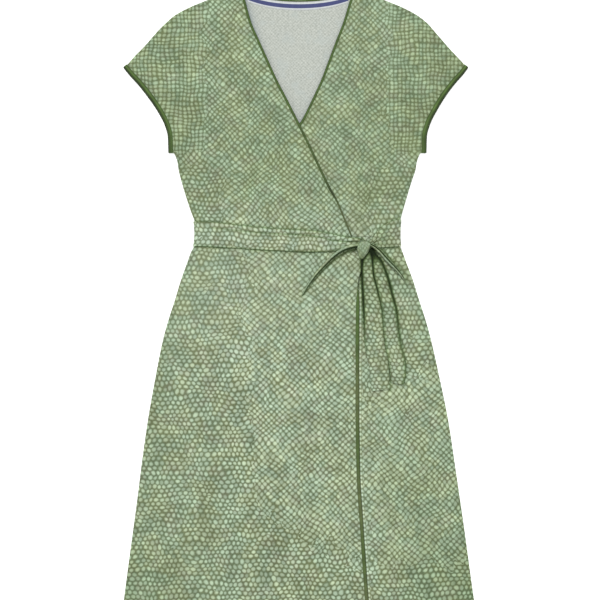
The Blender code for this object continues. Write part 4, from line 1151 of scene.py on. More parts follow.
def armhole_piece(name, side):
    """Binding round one armhole: along the front, round the underarm, back up to the tip."""
    path = ARM_PATH[side]
    t = tangents(path)
    inward = np.stack([t[:, 1], -t[:, 0]], 1) * side
    width = ARM_BIND_W + 0.4
    profile, s = band_profile(width, 1.15, 0.30, 13)
    n = len(path)
    high, low = 1.95, 1.05          # undersides of the two layers face each other
    centres, across, normal, turns = [], [], [], []
    for k in range(n):
        centres.append((path[k, 0], path[k, 1], high)); across.append((*inward[k], 0)); normal.append((0, 0, 1)); turns.append(0)
    middle, half = (high + low) / 2, (high - low) / 2
    for a in np.linspace(0, math.pi, 9)[1:-1]:
        f = t[-1]
        centres.append((path[-1, 0] + f[0] * half * math.sin(a), path[-1, 1] + f[1] * half * math.sin(a),
                        middle + half * math.cos(a)))
        across.append((*inward[-1], 0)); normal.append((f[0] * math.sin(a), f[1] * math.sin(a), math.cos(a))); turns.append(1)
    for k in reversed(range(n)):
        centres.append((path[k, 0], path[k, 1], low)); across.append((*inward[k], 0)); normal.append((0, 0, -1)); turns.append(0)
    for a in np.linspace(0, math.pi, 9)[1:-1]:
        f = -t[0]
        centres.append((path[0, 0] + f[0] * half * math.sin(a), path[0, 1] + f[1] * half * math.sin(a),
                        middle - half * math.cos(a)))
        across.append((*inward[0], 0)); normal.append((f[0] * math.sin(a), f[1] * math.sin(a), -math.cos(a))); turns.append(1)
    m = len(profile)
    scale = np.ones((len(centres), 2))
    scale[n + 2:2 * n + 12, 1] = 0.69
    us = profile[:, 0] / width
    # painted shade: darker at both edges and in a groove, with a painted highlight along a ridge, stronger high up;
    # wave makes it lighter and darker along the band
    core = 0.60 - 0.34 * np.exp(-((us - 0.0) / 0.13) ** 2) - 0.30 * np.exp(-((us - 1.0) / 0.12) ** 2)
    high_up = smoothstep(270.0, 330.0, np.array(centres)[:, 1])
    ridge = (0.30 + 0.30 * high_up)[:, None] * np.exp(-((us[None] - 0.62 + 0.06 * high_up[:, None]) / 0.15) ** 2)
    groove = 0.26 * high_up[:, None] * np.exp(-((us[None] - 0.26) / 0.14) ** 2)
    wave = 1 + 0.07 * np.sin(np.arange(len(centres)) * 0.31 + side)[:, None]
    run = np.array(centres)[:, 1]
    scale[:, 0] = 1.02 + 0.12 * np.exp(-((run - 330.0) / 55.0) ** 2) - 0.12 * smoothstep(372.0, 402.0, run)
    obj = tube(name, centres, across, normal, profile, green, closed=True, shade=(core[None] + ridge - groove) * wave,
               scale=scale)
    return face_out(obj)


arm_left = armhole_piece("armhole_binding_left_cloth", -1)
arm_right = armhole_piece("armhole_binding_right_cloth", 1)


def neck_piece():
    """One binding round the whole neck: up the over front, across the back, down the under front."""
    down = spaced(114.2, 524.0, 2.4)
    over = np.stack([neck_over(down), down, FRONT_Z + lift(down) + crown_at(neck_over(down), down)
                     + step_at(neck_over(down), down, neck_under(down), neck_over(down))], 1)
    xs = spaced(-96.0, 93.0, 2.4)
    back = np.stack([xs, back_neck(xs) - NECK_BIND_W / 2, np.full(len(xs), 0.1)], 1)
    back[:, 2] = 0.1 + 1.5 * smoothstep(78.0, 98.0, np.abs(xs + 1.5))
    up = down[::-1]
    under = np.stack([neck_under(up), up, FRONT_Z + lift(up) + crown_at(neck_under(up), up)], 1)
    relief_o, _ = creases(over[:, 0], over[:, 1], FRONT_CREASES, 11)
    relief_u, _ = creases(under[:, 0], under[:, 1], FRONT_CREASES, 11)
    over[:, 2] += relief_o
    under[:, 2] += relief_u
    corner_a = np.array([(-98.0, 526.2, 1.7), (-97.6, 526.9, 1.7)])
    corner_b = np.array([(94.6, 526.2, 1.7), (95.0, 525.6, 1.7)])
    path = np.concatenate([over, corner_a, back[1:-1], corner_b, under])
    # towards the cloth
    side = []
    for k, p in enumerate(path):
        if k < len(over):
            d = float(neck_over(p[1] + 1) - neck_over(p[1] - 1)) / 2
            side.append((-1.0, d))
        elif k >= len(path) - len(under):
            d = float(neck_under(p[1] + 1) - neck_under(p[1] - 1)) / 2
            side.append((1.0, -d))
        elif k in (len(over), len(over) + 1):
            side.append((-0.8, -0.6))
        elif k in (len(path) - len(under) - 1, len(path) - len(under) - 2):
            side.append((0.8, -0.6))
        else:
            d = float(back_neck(p[0] + 1) - back_neck(p[0] - 1)) / 2
            side.append((d, -1.0))
    side = np.array(side, float)
    side /= np.linalg.norm(side, axis=1, keepdims=True)
    for _ in range(2):
        side[1:-1] = side[:-2] * 0.25 + side[1:-1] * 0.5 + side[2:] * 0.25
    side /= np.linalg.norm(side, axis=1, keepdims=True)
    across = np.concatenate([side, np.zeros((len(side), 1))], 1)
    width = NECK_BIND_W
    profile, s = band_profile(width, 1.75, 0.15, 9)
    profile[:, 0] -= width / 2
    centres = path.copy()
    centres[:, 2] -= 0.05
    n = len(path)
    normal = np.tile((0.0, 0.0, 1.0), (n, 1))
    # the over edge turns olive lower down; the under one stays green
    fade = np.zeros(n)
    fade[:len(over)] = smoothstep(330.0, 280.0, over[:, 1]) * 0.2 + smoothstep(190.0, 145.0, over[:, 1]) * 0.7
    us = profile[:, 0] / width + 0.5
    # painted shade at both edges; darker still on the over edge around y 188 and below y 300
    core = 0.84 - 0.30 * np.exp(-((us - 0.0) / 0.16) ** 2) - 0.30 * np.exp(-((us - 1.0) / 0.16) ** 2)
    run = np.ones(n)
    run[:len(over)] -= 0.42 * np.exp(-((over[:, 1] - 188.0) / 16.0) ** 2) + 0.16 * smoothstep(316.0, 296.0, over[:, 1])
    scale = np.ones((n, 2))
    scale[:len(over), 0] = 1.42 - 0.10 * smoothstep(320.0, 280.0, over[:, 1]) - 0.40 * smoothstep(200.0, 150.0, over[:, 1])
    scale[-len(under):, 0] = 1.38
    scale[len(over):-len(under), 0] = 1.1
    obj = tube("neck_binding", centres, across, normal, profile, green, shade=core[None] * run[:, None], scale=scale,
               kind=fade[:, None])
    return face_out(obj)


neck_bind = neck_piece()


def skirt_binding():
    """Binding down the over skirt's free edge; it grows out from under the bow."""
    y = spaced(SEAM_Y - 0.3, HEM_Y, 2.6)
    x = skirt_over(y)
    relief, _ = creases(x, y, FRONT_CREASES, 11)
    z = FRONT_Z + lift(y) + crown_at(x, y) + step_at(x, y, skirt_under(y), x) + relief
    d = (skirt_over(y + 1) - skirt_over(y - 1)) / 2
    across = np.stack([np.ones(len(y)), -d, np.zeros(len(y))], 1)
    across /= np.linalg.norm(across, axis=1, keepdims=True)
    grow = smoothstep(38.0, -8.0, y)
    profile, s = band_profile(SKIRT_BIND_W, 1.85, 0.2, 9)
    profile[:, 0] -= SKIRT_BIND_W / 2
    centres = np.stack([x, y, z - 0.05], 1)
    scale = np.stack([0.10 + (1.42 + 0.05 * np.sin(y * 0.07)) * grow, np.ones(len(y))], 1)
    us = profile[:, 0] / SKIRT_BIND_W + 0.5
    # painted shade at both edges and a painted highlight around y -15
    core = 0.80 - 0.34 * np.exp(-((us - 0.0) / 0.15) ** 2) - 0.40 * np.exp(-((us - 1.0) / 0.15) ** 2)
    fade = smoothstep(-20.0, -110.0, y) * (0.55 + 0.35 * np.sin(y * 0.035 + 0.6))
    bright = 1 + 0.25 * np.exp(-((y + 15.0) / 40.0) ** 2)
    obj = tube("skirt_edge_binding_cloth", centres, across, np.tile((0, 0, 1.0), (len(y), 1)), profile, green,
               shade=core[None] * bright[:, None], scale=scale, kind=fade[:, None])
    return face_out(obj)


skirt_bind = skirt_binding()


def neck_tape_piece():
    """Woven tape sewn inside the back neck, following its curve."""
    drop = NECK_BIND_W + 1.0
    x = np.linspace(-90.0, 85.0, 90)
    v = np.linspace(0, 1, 11)
    lean = 1 - 0.045 * (1 - v)
    X = x[:, None] * lean[None]
    top_y = back_neck(x) - drop
    Y = top_y[:, None] - TAPE_W * (1 - v)[None]
    z = 1.12 + 0.55 * (1 - np.abs(2 * v - 1) ** 6)[None] + 0.10 * np.sin(x * 0.13)[:, None] * (1 - v)[None]
    Z = np.broadcast_to(z, X.shape)
    outer = np.stack([X, Y, Z], -1)[:, ::-1]
    outer = np.swapaxes(outer, 0, 1)
    inner = outer.copy()
    inner[..., 2] -= 0.45
    cut = np.stack([np.broadcast_to(x[None], outer.shape[:2]), np.broadcast_to(v[::-1][:, None], outer.shape[:2])], -1)
    # painted shade along both edges of the tape
    shade = 1 - 0.12 * np.exp(-(1 - cut[..., 1]) / 0.06) - 0.06 * np.exp(-cut[..., 1] / 0.05)
    return shell("back_neck_tape", outer, inner, taped, cut, np.zeros(outer.shape[:2]), shade, up=True)


tape = neck_tape_piece()


# --------------------------------------------------------------------- belt
def belt_under(x):
    """Underside of the belt's front over the panels."""
    over = under_top(x, 112.0 + 0 * x) + OVER_STEP * smoothstep(-130.0, -101.0, x)
    under = under_top(x, 112.0 + 0 * x)
    return over + (under - over) * smoothstep(100.0, 122.0, x) + 0.35


def belt_piece():
    """The whole belt as one band: front from the knot to the left side, round the back, and up to the knot."""
    lo_l, hi_l, pl_l = curve(BELT_LEFT, 1), curve(BELT_LEFT, 2), curve(BELT_LEFT, 3)
    lo_r, hi_r, pl_r = curve(BELT_RIGHT, 1), curve(BELT_RIGHT, 2), curve(BELT_RIGHT, 3)
    crease = curve(BELT_CREASE)
    half = 0.75
    stations = []       # side, inset, height of the middle, normal x (outward), normal z, low, high, pleat, crease

    def front(side, inset):
        x = -174.1 + inset if side < 0 else 168.3 - inset
        lo, hi, pl = (lo_l, hi_l, pl_l) if side < 0 else (lo_r, hi_r, pl_r)
        return (side, inset, float(belt_under(np.array(x))) + half, 0.0, 1.0, float(lo(inset)), float(hi(inset)),
                float(pl(inset)), float(crease(inset)) if side < 0 else 0.5)

    def turn(side):
        top = float(belt_under(np.array(-170.0 if side < 0 else 164.0))) + half
        low = 0.8
        mid, r = (top + low) / 2, (top - low) / 2
        hi = 138.0 if side < 0 else 141.0
        rows = []
        for a in np.linspace(0.0, math.pi, 13):
            rows.append((side, 2.2 - (2.2 + 1.15) * math.sin(a) ** 0.8, mid + r * math.cos(a), math.sin(a), math.cos(a), 95.6, hi, 0.0,
                         0.74 if side < 0 else 0.5))
        return rows
    for inset in spaced(276.0, 5.0, 3.0):
        stations.append(front(-1, inset))
    stations += turn(-1)
    for u in np.linspace(0.02, 0.98, 64):
        stations.append((0, u, 0.8, 0.0, -1.0, 95.6, 138.0 + 3.0 * u, 0.0, 0.5))
    stations += turn(1)[::-1]
    for inset in spaced(5.0, 50.5, 1.8):
        stations.append(front(1, inset))

    edge_steps = np.array([0.0, 0.25, 0.7, 1.3, 2.1])
    middle = np.linspace(0.0, 1.0, 25)[1:-1]
    V, SH, CUT, KD = [], [], [], []
    along = 0.0
    previous = None
    for side, inset, zc, nx, nz, y0, y1, pleat, uc in stations:
        span = y1 - y0
        d = np.concatenate([edge_steps, edge_steps[-1] + (span - 2 * edge_steps[-1]) * middle, span - edge_steps[::-1]])
        y = y0 + d
        u = d / span
        if side == 0:
            left = np.interp(y, [88, 96, 117, 138, 150], [-180.6, -176.2, -174.1, -175.6, -180.0]) + 3.0
            right = np.interp(y, [88, 96, 117, 138, 150], [173.0, 169.6, 168.3, 169.6, 172.6]) - 3.0
            x = left + (right - left) * inset
        else:
            follow = min(max((60.0 - inset) / 50.0, 0.0), 1.0)
            base = follow * side_seam[side](np.clip(y, 96.0, 146.0)) + (1 - follow) * float(side_seam[side](117.0))
            x = base - side * inset
        thick = half * np.sqrt(np.clip(1 - (1 - np.clip(np.minimum(d, span - d) / 1.3, 0, 1)) ** 2, 0.02, 1))
        front_side = side != 0 and abs(nz) > 0.99 and nz > 0
        relief = np.zeros(len(d))
        shade = np.ones(len(d))
        if front_side and side < 0:
            below, above = np.clip(u / uc, 0, 1), np.clip((u - uc) / (1 - uc), 0, 1)
            relief = pleat * np.where(u < uc, np.sin(np.pi * below) ** 0.6, 0.85 * np.sin(np.pi * above) ** 0.6)
            near = smoothstep(150.0, 262.0, inset)
            relief = relief - near * 0.9 * np.exp(-((u - uc * 0.45) / 0.05) ** 2)
            relief = relief - 0.45 * np.exp(-((u - uc) * span / 1.4) ** 2) * smoothstep(25.0, 60.0, inset)
            # painted shade along the long crease, at both edges, in the fold near the knot and just above the lower
            # edge, with a faint painted highlight across its lower part
            line = np.exp(-((u - uc) * span / 1.25) ** 2)
            shade = shade - line * (0.34 + 0.16 * smoothstep(30.0, 230.0, inset)) * smoothstep(14.0, 44.0, inset)
            shade = shade - near * 0.22 * np.exp(-((u - uc * 0.45) * span / 1.3) ** 2)
            shade = shade - 0.62 * np.exp(-(d / 1.5) ** 2) - (0.46 + 0.10 * near) * np.exp(-((span - d) / 1.5) ** 2)
            shade = shade - 0.16 * near * np.exp(-(d / 5.0) ** 2) + 0.05 + 0.07 * np.exp(-((u - 0.35) / 0.2) ** 2)
        elif front_side:
            # painted shade in the gathers, at both edges and over the lower part near the knot
            fan = smoothstep(4.0, 40.0, inset)
            for c, w, k in ((0.22, 0.05, 0.8), (0.42, 0.05, 1.0), (0.60, 0.045, 0.9), (0.78, 0.05, 0.7), (0.90, 0.04, 0.5)):
                relief = relief - k * fan * 1.2 * np.exp(-((u - c) / w) ** 2)
                shade = shade - 0.38 * k * fan * np.exp(-((u - c + 0.10 * (1 - fan)) / w) ** 2)
            relief = relief + pleat * np.sin(np.pi * np.clip(u, 0, 1)) ** 0.6
            shade = shade - 0.40 * np.exp(-d / 1.2) - 0.10 * np.exp(-(span - d) / 1.0)
            shade = shade - 0.35 * smoothstep(30.0, 50.0, inset) * smoothstep(0.75, 0.2, u)
        outer = np.stack([x + side * nx * thick, y, zc + nz * thick + relief * (nz > 0)], 1)
        inner = np.stack([x - side * nx * thick, y, zc - nz * thick + relief * 0.5 * (nz > 0)], 1)
        centre = np.array([np.mean(x), zc])
        if previous is not None:
            along += float(np.linalg.norm(centre - previous))
        previous = centre
        V.append(np.concatenate([outer, inner[::-1][1:-1]]))
        SH.append(np.concatenate([shade, shade[::-1][1:-1]]))
        c = np.stack([np.full(len(d), along + 2000.0), d + 13.0], 1)
        CUT.append(np.concatenate([c, c[::-1][1:-1] + (0, 80.0)]))
        KD.append(np.full(len(V[-1]), 0.2))
    V, SH, CUT, KD = np.array(V), np.array(SH), np.array(CUT), np.array(KD)
    n, m = V.shape[:2]
    zero = np.zeros((n, 3))
    return soften(face_out(tube_from("belt_cloth", V, CUT * 1.08, printed, SH, KD)), 0.16)


def tube_from(name, V, CUT, material, SH, KD, closed=False):
    """Tube from ready rings (stations, points, 3)."""
    n, m = V.shape[:2]
    last = n if closed else n - 1
    i = np.arange(last)
    faces = []
    for k in range(m):
        a, b = i * m + k, i * m + (k + 1) % m
        c, d = ((i + 1) % n) * m + (k + 1) % m, ((i + 1) % n) * m + k
        faces.append(np.stack([a, b, c, d], 1))
    faces = np.concatenate(faces)
    v = V.reshape(-1, 3)
    cut, sh, kd = CUT.reshape(-1, 2), SH.reshape(-1), KD.reshape(-1)
    bands = 4 if n > 60 else (2 if n > 30 else 1)
    per = int(math.ceil(n / bands))
    fi, fkk = np.tile(i, m), np.repeat(np.arange(m), last)
    band, pos = fi // per, fi % per
    corner = np.zeros((len(faces), 4, 2))
    for c, (di, dk) in enumerate(((0, 0), (0, 1), (1, 1), (1, 0))):
        corner[:, c, 0] = 0.01 + 0.97 * (pos + di) / per
        corner[:, c, 1] = (band + 0.02 + 0.93 * (fkk + dk) / m) / bands * 0.97
    if closed:
        return mesh_from(name, v, faces, material, cut, kd, sh, None, corner.reshape(-1, 2))
    base = len(v)
    v = np.concatenate([v, V[0].mean(0)[None], V[-1].mean(0)[None]])
    cut = np.concatenate([cut, CUT[0].mean(0)[None], CUT[-1].mean(0)[None]])
    sh, kd = np.append(sh, [sh[0], sh[-1]]), np.append(kd, [kd[0], kd[-1]])
    tris = []
    for k in range(m):
        tris.append([base, (k + 1) % m, k])
        tris.append([base + 1, (n - 1) * m + k, (n - 1) * m + (k + 1) % m])
    return strip_object(name, v, faces, np.array(tris), material, cut, kd, sh, np.zeros(len(v)), corner)


belt = belt_piece()


# ----------------------------------------------------------------------- bow
def tail_piece(name, table, end_slant, left_edge_shadow, right_edge_shadow, seed):
    """One hanging end of the belt: doubled cloth with an arched fold and a slanted tip."""
    ys = spaced(table[0][0], table[-1][0], 2.2)
    left, right, under, fold = (curve(table, k) for k in (1, 2, 3, 4))
    count = 23
    u = np.linspace(0, 1, count)
    u = 0.5 - 0.5 * np.cos(np.pi * u) * (0.55 + 0.45 * np.abs(np.cos(np.pi * u)))
    u = (u - u[0]) / (u[-1] - u[0])
    reach = 3.3 if seed > 0.5 else 1.9
    V, SH, CUT = [], [], []
    for y in ys:
        l, r, z, f = float(left(y)), float(right(y)), float(under(y)), float(fold(y))
        width = r - l
        x = l + width * u
        d = np.minimum(u, 1 - u) * width
        t = 0.6 * np.sqrt(np.clip(1 - (1 - np.clip(d / 1.2, 0, 1)) ** 2, 0.03, 1))
        arch = f * np.sin(np.pi * u) ** 0.8
        sway = 0.30 * np.sin(2 * np.pi * (u * 1.4 + y / 95.0 + seed))
        groove = -0.5 * smoothstep(-60.0, 50.0, y) * (np.exp(-((u - 0.36) / 0.07) ** 2) + 0.8 * np.exp(-((u - 0.68) / 0.07) ** 2))
        mid = z + 0.6 + arch + (sway + groove) * np.sin(np.pi * u) ** 0.5
        yy = y + end_slant * (u - 0.5) * width * smoothstep(table[-1][0] + 26.0, table[-1][0], y)
        top = np.stack([x, yy, mid + t], 1)
        bottom = np.stack([x, yy, np.maximum(mid - t, z)], 1)
        # painted shade: darker higher up, painted shadow along both edges and in the two grooves, and painted shadow
        # under the knot at the top
        high = smoothstep(-60.0, 60.0, y)
        shade = 1 - 0.06 * high - 0.94 * left_edge_shadow(y) * np.exp(-(u * width / 3.2) ** 2) \
            - 0.88 * right_edge_shadow(y) * np.exp(-((1 - u) * width / reach) ** 2) \
            - 0.14 * high * (np.exp(-((u - 0.36) / 0.08) ** 2) + 0.8 * np.exp(-((u - 0.68) / 0.08) ** 2))
        if seed > 0.5:
            shade = shade * (1 - 0.93 * smoothstep(62.0, 84.0, y))
        else:
            d, _, share = near_line(x, yy, KNOT_EDGE)
            shade = shade * (1 - 0.92 * np.exp(-(d / 2.8) ** 2)) * (1 - 0.35 * smoothstep(60.0, 84.0, yy))
        V.append(np.concatenate([top, bottom[::-1][1:-1]]))
        SH.append(np.concatenate([np.clip(shade, 0.05, 1.3), np.clip(shade, 0.05, 1.3)[::-1][1:-1]]))
        c = np.stack([2500.0 + 400 * seed + (x - l) * 1.12, yy * 1.12], 1)
        CUT.append(np.concatenate([c, c[::-1][1:-1] + (90.0, 0)]))
    V, SH, CUT = np.array(V), np.array(SH), np.array(CUT)
    return soften(face_out(tube_from(name, V, CUT, printed, SH, np.full(SH.shape, 0.1))), 0.12)


tail_left = tail_piece("belt_tail_left_cloth", TAIL_LEFT, 0.10,
                       lambda y: float(smoothstep(-110.0, -10.0, y)), lambda y: 0.26 + 0.54 * float(smoothstep(-70.0, 20.0, y)), 0.2)
tail_right = tail_piece("belt_tail_right_cloth", TAIL_RIGHT, -0.22,
                        lambda y: 0.45 + 0.3 * float(smoothstep(-40.0, 60.0, y)), lambda y: 0.65 + 0.3 * float(smoothstep(-60.0, 20.0, y)), 0.8)


def loop_piece(name, table, light_side, seed):
    """Bow loop seen from above its edge: a broad layer, a groove, and the narrow layer behind it."""
    pts = [(r[0], r[1]) for r in table]
    along = np.concatenate([[0], np.cumsum(np.hypot(*np.diff(np.array(pts), axis=0).T))])
    total = along[-1]
    n = int(total / 1.6)
    t = np.linspace(0, total, n + 1)
    x, y = (curve(list(zip(along, [p[k] for p in pts])))(t) for k in (0, 1))
    half, crest = (curve(list(zip(along, [r[k] for r in table])))(t) for k in (2, 3))
    half = half * 0.80
    centre = np.stack([x, y], 1)
    tg = tangents(centre)
    left = np.stack([-tg[:, 1], tg[:, 0]], 1)      # to the left of the run
    s = np.linspace(-1, 1, 25)
    a = s * light_side
    # a > 0 is the broad layer, painted light, a < 0 the narrow one, groove between them
    section = np.where(a > -0.12, np.sin(np.pi * np.clip((a + 0.12) / 1.12, 0, 1)) ** 0.5,
                       0.72 * np.sin(np.pi * np.clip((a + 1.0) / 0.88, 0, 1)) ** 0.55)
    V, SH, CUT = [], [], []
    for k in range(len(t)):
        h = half[k]
        rise = 2.7 * min(1.0, h / 3.2)
        top_z = crest[k] - rise + rise * section
        pos = centre[k][None] + left[k][None] * (s * h * np.where(a < 0, 0.8 if seed else 0.5, 1.0))[:, None]
        edge_d = (1 - np.abs(s)) * h
        floor_z = crest[k] - rise - 1.9 * min(1.0, h / 2.5)
        tt = np.sqrt(np.clip(1 - (1 - np.clip(edge_d / 0.9, 0, 1)) ** 2, 0.02, 1))
        top = np.concatenate([pos, (floor_z + 0.9 + (top_z - floor_z - 0.9) * tt)[:, None]], 1)
        bottom = np.concatenate([pos, np.full((len(s), 1), floor_z)], 1)
        share = t[k] / total
        far = 0.30 if seed else 0.0
        # painted shade: the narrow layer and groove dark and a dark outer edge, with painted highlights on the broad
        # layer and, on the right loop, a light line in the narrow layer; darker near the knot, fading towards the tip;
        # the underside darker still
        dark = 0.97 - 0.86 * smoothstep(0.22, -0.02, a) + far * 1.6 * np.exp(-((a + 0.78) / 0.20) ** 2) \
            - 0.55 * np.exp(-(1 - a) * h / 0.8) + 0.08 * np.exp(-((a - 0.50) / 0.22) ** 2)
        dark = dark * (1 - 0.25 * np.exp(-t[k] / 6.0))
        dark = 1 - (1 - dark) * (1 - 0.30 * share)
        V.append(np.concatenate([top, bottom[::-1][1:-1]]))
        SH.append(np.concatenate([dark, dark[::-1][1:-1] * 0.6]))
        c = np.stack([np.full(len(s), 3300.0 + 300 * seed + t[k] * 1.2), s * h * 1.3], 1)
        CUT.append(np.concatenate([c, c[::-1][1:-1] + (0, 40.0)]))
    V, SH, CUT = np.array(V), np.clip(np.array(SH), 0.05, 1.4), np.array(CUT)
    return soften(face_out(tube_from(name, V, CUT, printed, SH, np.full(SH.shape, 0.9))), 0.72)


loop_left = loop_piece("belt_loop_left_cloth", LOOP_LEFT, -1.0, 0)
loop_right = loop_piece("belt_loop_right_cloth", LOOP_RIGHT, -1.0, 1)


def knot_piece():
    """Tight wrap of the belt, drawn to a point at its lower left, with creases along the wrap."""
    pts = np.array(KNOT_OUTLINE)
    centre = np.array([108.4, 91.6])
    ang = np.arctan2(pts[:, 1] - centre[1], pts[:, 0] - centre[0])
    rad = np.hypot(pts[:, 0] - centre[0], pts[:, 1] - centre[1])
    order = np.argsort(ang)
    ang, rad = ang[order], rad[order]
    ang = np.concatenate([ang[-2:] - 2 * np.pi, ang, ang[:2] + 2 * np.pi])
    rad = np.concatenate([rad[-2:], rad, rad[:2]])
    theta = np.linspace(-np.pi, np.pi, 97)[:-1]
    radius = curve(list(zip(ang, rad)))(theta)
    for _ in range(3):
        radius = 0.25 * np.roll(radius, 1) + 0.5 * radius + 0.25 * np.roll(radius, -1)
    rho = np.concatenate([np.linspace(0.04, 0.9, 22), [0.94, 0.97, 0.99, 1.0]])
    tip = (104.4, 70.0)
    fans = [((99.6, 101.0), 0.7, 1.1), ((105.0, 105.0), 0.9, 1.1), ((111.0, 105.0), 0.8, 1.2), ((117.4, 103.4), 0.9, 1.3)]
    rings, shades, cuts = [], [], []
    bottom, top = 9.2, 19.4
    for r in rho:
        x = centre[0] + radius * r * np.cos(theta)
        y = centre[1] + radius * r * np.sin(theta)
        dome = (1 - r ** 2.6) ** 0.55 if r < 1 else 0.0
        lean = 0.75 + 0.25 * smoothstep(76.0, 96.0, y)
        z = bottom + 1.4 + (top - bottom - 1.4) * dome * lean
        dark = np.zeros(len(theta))
        for end, depth, w in fans:
            d, _, share = near_line(x, y, [tip, ((tip[0] + end[0]) / 2 - 1.2, (tip[1] + end[1]) / 2), end])
            bell = np.exp(-(d / w) ** 2) * (0.35 + 0.65 * np.sin(np.pi * np.clip(share, 0, 1)) ** 0.5)
            z = z - depth * bell * min(1.0, 4 * (1 - r) + 0.25)
            # painted shade along the creases
            dark = dark + 0.20 * bell
        rings.append(np.stack([x, y, z], 1))
        # painted shadow round the rim, deeper on the right
        rim = np.exp(-(1 - r) * radius / 1.0)
        right = smoothstep(110.0, 121.0, x)
        shades.append(np.clip(1.0 - dark * 0.9 - rim * (0.45 + 0.25 * right), 0.06, 1.2))
        cuts.append(np.stack([(x - 60.0) * 1.35 + 4000.0, y * 1.35], 1))
    # the flat underside, painted darker
    for drop, r in ((0.9, 1.0), (1.4, 0.97), (1.4, 0.6), (1.4, 0.1)):
        x = centre[0] + radius * r * np.cos(theta)
        y = centre[1] + radius * r * np.sin(theta)
        rings.append(np.stack([x, y, np.full(len(theta), bottom + 1.4 - drop)], 1))
        shades.append(np.full(len(theta), 0.5))
        cuts.append(np.stack([(x - 60.0) * 1.45 + 4200.0, y * 1.45], 1))
    V, SH, CUT = np.array(rings), np.array(shades), np.array(cuts)
    return soften(face_out(tube_from("belt_knot_cloth", V, CUT, printed, SH, np.full(SH.shape, 0.8))), 0.66)


knot = knot_piece()


# ------------------------------------------------------------------ stitches
def stitches(name, points, directions, length, radius, material):
    """Joined mesh of small raised stitches, one at each point."""
    points, directions = np.asarray(points, float), np.asarray(directions, float)
    directions = directions / np.linalg.norm(directions, axis=1, keepdims=True)
    side = np.stack([-directions[:, 1], directions[:, 0], np.zeros(len(directions))], 1)
    up = np.cross(directions, side)
    up = np.where(up[:, 2:] < 0, -up, up)
    rings = [(-0.5, 0.25, -0.4), (-0.28, 0.9, 0.1), (0.0, 1.0, 0.25), (0.28, 0.9, 0.1), (0.5, 0.25, -0.4)]
    corners = [(1, 0), (0.5, 0.8), (-0.5, 0.8), (-1, 0), (-0.5, -0.6), (0.5, -0.6)]
    V = []
    for a, r, h in rings:
        for cx, cy in corners:
            V.append(points + directions * a * length + side * cx * radius * r + up * (cy * radius * r + h * radius))
    V = np.stack(V, 1)
    k = len(points)
    base = np.arange(k)[:, None] * 30
    F = []
    for i in range(4):
        for j in range(6):
            a, b = i * 6 + j, i * 6 + (j + 1) % 6
            F.append(base + np.array([a, b, b + 6, a + 6])[None])
    F += [base + np.array([0, 5, 4, 3])[None], base + np.array([0, 3, 2, 1])[None],
          base + np.array([24, 25, 26, 27])[None], base + np.array([24, 27, 28, 29])[None]]
    faces = np.concatenate(F)
    obj = mesh_from(name, V.reshape(-1, 3), faces, material, np.zeros((k * 30, 2)))
    return face_out(obj)


def hem_stitches(name, table_edges, top_of, pieces_seed, under=False):
    x0, x1 = table_edges
    xs = np.arange(x0, x1, 3.4)
    ys = np.full(len(xs), HEM_Y + 15.0)
    if under:
        z = np.full(len(xs), 0.16)
        pts = np.stack([xs, ys, z], 1)
    else:
        relief, _ = creases(xs, ys, FRONT_CREASES, 11)
        pts = np.stack([xs, ys, hem_top(top_of)(xs, ys) + relief + 0.05], 1)
    d = np.tile((1.0, 0.02, 0.0), (len(xs), 1))
    return stitches(name, pts, d, 2.5, 0.22, thread)


over_stitch = hem_stitches("hem_stitches_over", (-294.0, 111.0), over_top_with(skirt_under, skirt_over), 1)
under_stitch = hem_stitches("hem_stitches_under", (118.6, 294.0), under_top, 2)
back_stitch = hem_stitches("hem_stitches_back", (-294.0, 294.0), None, 3, under=True)


def arm_stitches(name, side):
    inner = dense_path([tuple(p) for p in arm_inner_path(side, ARM_BIND_W - 1.3)], 3.0)
    t = tangents(inner)
    z = np.full(len(inner), 2.86)
    pts = np.concatenate([inner, z[:, None]], 1)[1:-1]
    return stitches(name, pts, np.concatenate([t, np.zeros((len(t), 1))], 1)[1:-1], 2.1, 0.2, thread)


stitch_left = arm_stitches("armhole_stitches_left", -1)
stitch_right = arm_stitches("armhole_stitches_right", 1)


def tape_stitches():
    drop = NECK_BIND_W + 1.0
    pts, dirs = [], []
    for share, lean in ((0.08, 0.9586), (0.93, 0.997)):
        xs = np.arange(-88.0, 84.0, 3.0) * lean
        y = back_neck(xs / lean) - drop - TAPE_W * (1 - share)
        d = np.gradient(np.stack([xs, y], 1), axis=0)
        pts.append(np.stack([xs, y, np.full(len(xs), 1.60)], 1))
        dirs.append(np.concatenate([d, np.zeros((len(d), 1))], 1))
    return stitches("neck_tape_stitches", np.concatenate(pts), np.concatenate(dirs), 2.0, 0.18, pale_thread)


tape_stitch = tape_stitches()


# ------------------------------------------------------------- ride, and hide the parts they replace
def claim(obj, nodes):
    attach(obj, "root")
    if nodes:
        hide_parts(*nodes)


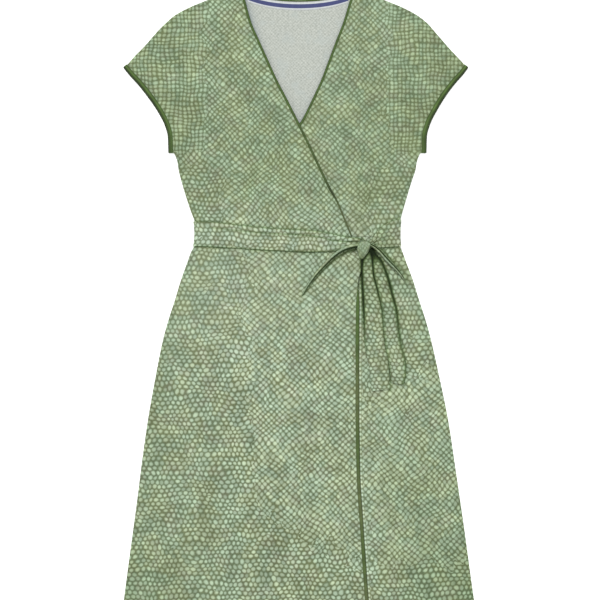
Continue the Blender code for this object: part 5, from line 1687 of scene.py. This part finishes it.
claim(over_bodice, ["front_over_bodice"])
claim(under_bodice, ["front_under_bodice"])
claim(over_skirt, ["front_over_skirt"])
claim(under_skirt, ["front_under_skirt"])
claim(back_bodice, ["back_bodice"])
claim(back_skirt, ["back_skirt"])
claim(arm_left, ["armhole_binding_left"])
claim(arm_right, ["armhole_binding_right"])
claim(neck_bind, ["neck_binding_back", "neck_binding_over", "neck_binding_under"])
claim(skirt_bind, ["skirt_edge_binding"])
claim(tape, ["neck_tape"])
claim(belt, ["belt_back", "belt_front_left", "belt_front_right"])
claim(knot, ["belt_knot"])
claim(loop_left, ["belt_loop_left"])
claim(loop_right, ["belt_loop_right"])
claim(tail_left, ["belt_tail_left"])
claim(tail_right, ["belt_tail_right"])
for piece in (over_stitch, under_stitch, back_stitch, stitch_left, stitch_right):
    claim(piece, [])
claim(tape_stitch, [])


# ---------------------------------------------------------- floor and lights
def floor_piece():
    mesh = bpy.data.meshes.new("floor")
    s, z = 40.0, -0.0006
    mesh.from_pydata([(-s, -s, z), (s, -s, z), (s, s, z), (-s, s, z)], [], [(0, 1, 2, 3)])
    m = new_material("floor")
    n = Nodes(m)
    b = n.finish((0.95, 0.95, 0.95), 0.9, sheen=0.0, specular=0.0)
    b.inputs["Emission Color"].default_value = (1, 1, 1, 1)
    b.inputs["Emission Strength"].default_value = 0.42
    mesh.materials.append(m)
    obj = bpy.data.objects.new("floor", mesh)
    bpy.context.scene.collection.objects.link(obj)
    return obj


floor_piece()

world = bpy.data.worlds.new("studio")
world.use_nodes = True
world.node_tree.nodes["Background"].inputs[0].default_value = (1.0, 1.0, 1.0, 1.0)
world.node_tree.nodes["Background"].inputs[1].default_value = 0.72
bpy.context.scene.world = world


def sun(name, azimuth, elevation, strength, angle):
    light = bpy.data.lights.new(name, "SUN")
    light.energy = strength
    light.angle = math.radians(angle)
    light.color = (1.0, 1.0, 1.0)
    obj = bpy.data.objects.new(name, light)
    a, e = math.radians(azimuth), math.radians(elevation)
    direction = Vector((math.cos(a) * math.cos(e), math.sin(a) * math.cos(e), math.sin(e)))
    obj.rotation_euler = direction.to_track_quat("Z", "Y").to_euler()
    bpy.context.scene.collection.objects.link(obj)
    return obj


sun("key", 112.0, 42.0, 1.85, 9.0)
sun("fill", 20.0, 60.0, 0.45, 25.0)

camera = bpy.data.cameras.new("camera")
camera.lens, camera.sensor_width = 100.0, 36.0
camera.clip_start, camera.clip_end = 0.05, 100.0
cam = bpy.data.objects.new("camera", camera)
cam.location = (0.0015, 0.0059, 2.8)
bpy.context.scene.collection.objects.link(cam)
bpy.context.scene.camera = cam
bpy.context.scene.view_settings.view_transform = "Standard"
bpy.context.scene.view_settings.look = "None"

triangles = sum(len(p.vertices) - 2 for o in bpy.data.objects if o.type == "MESH" and not o.hide_render
                for p in o.data.polygons)
print("triangles shown", triangles)
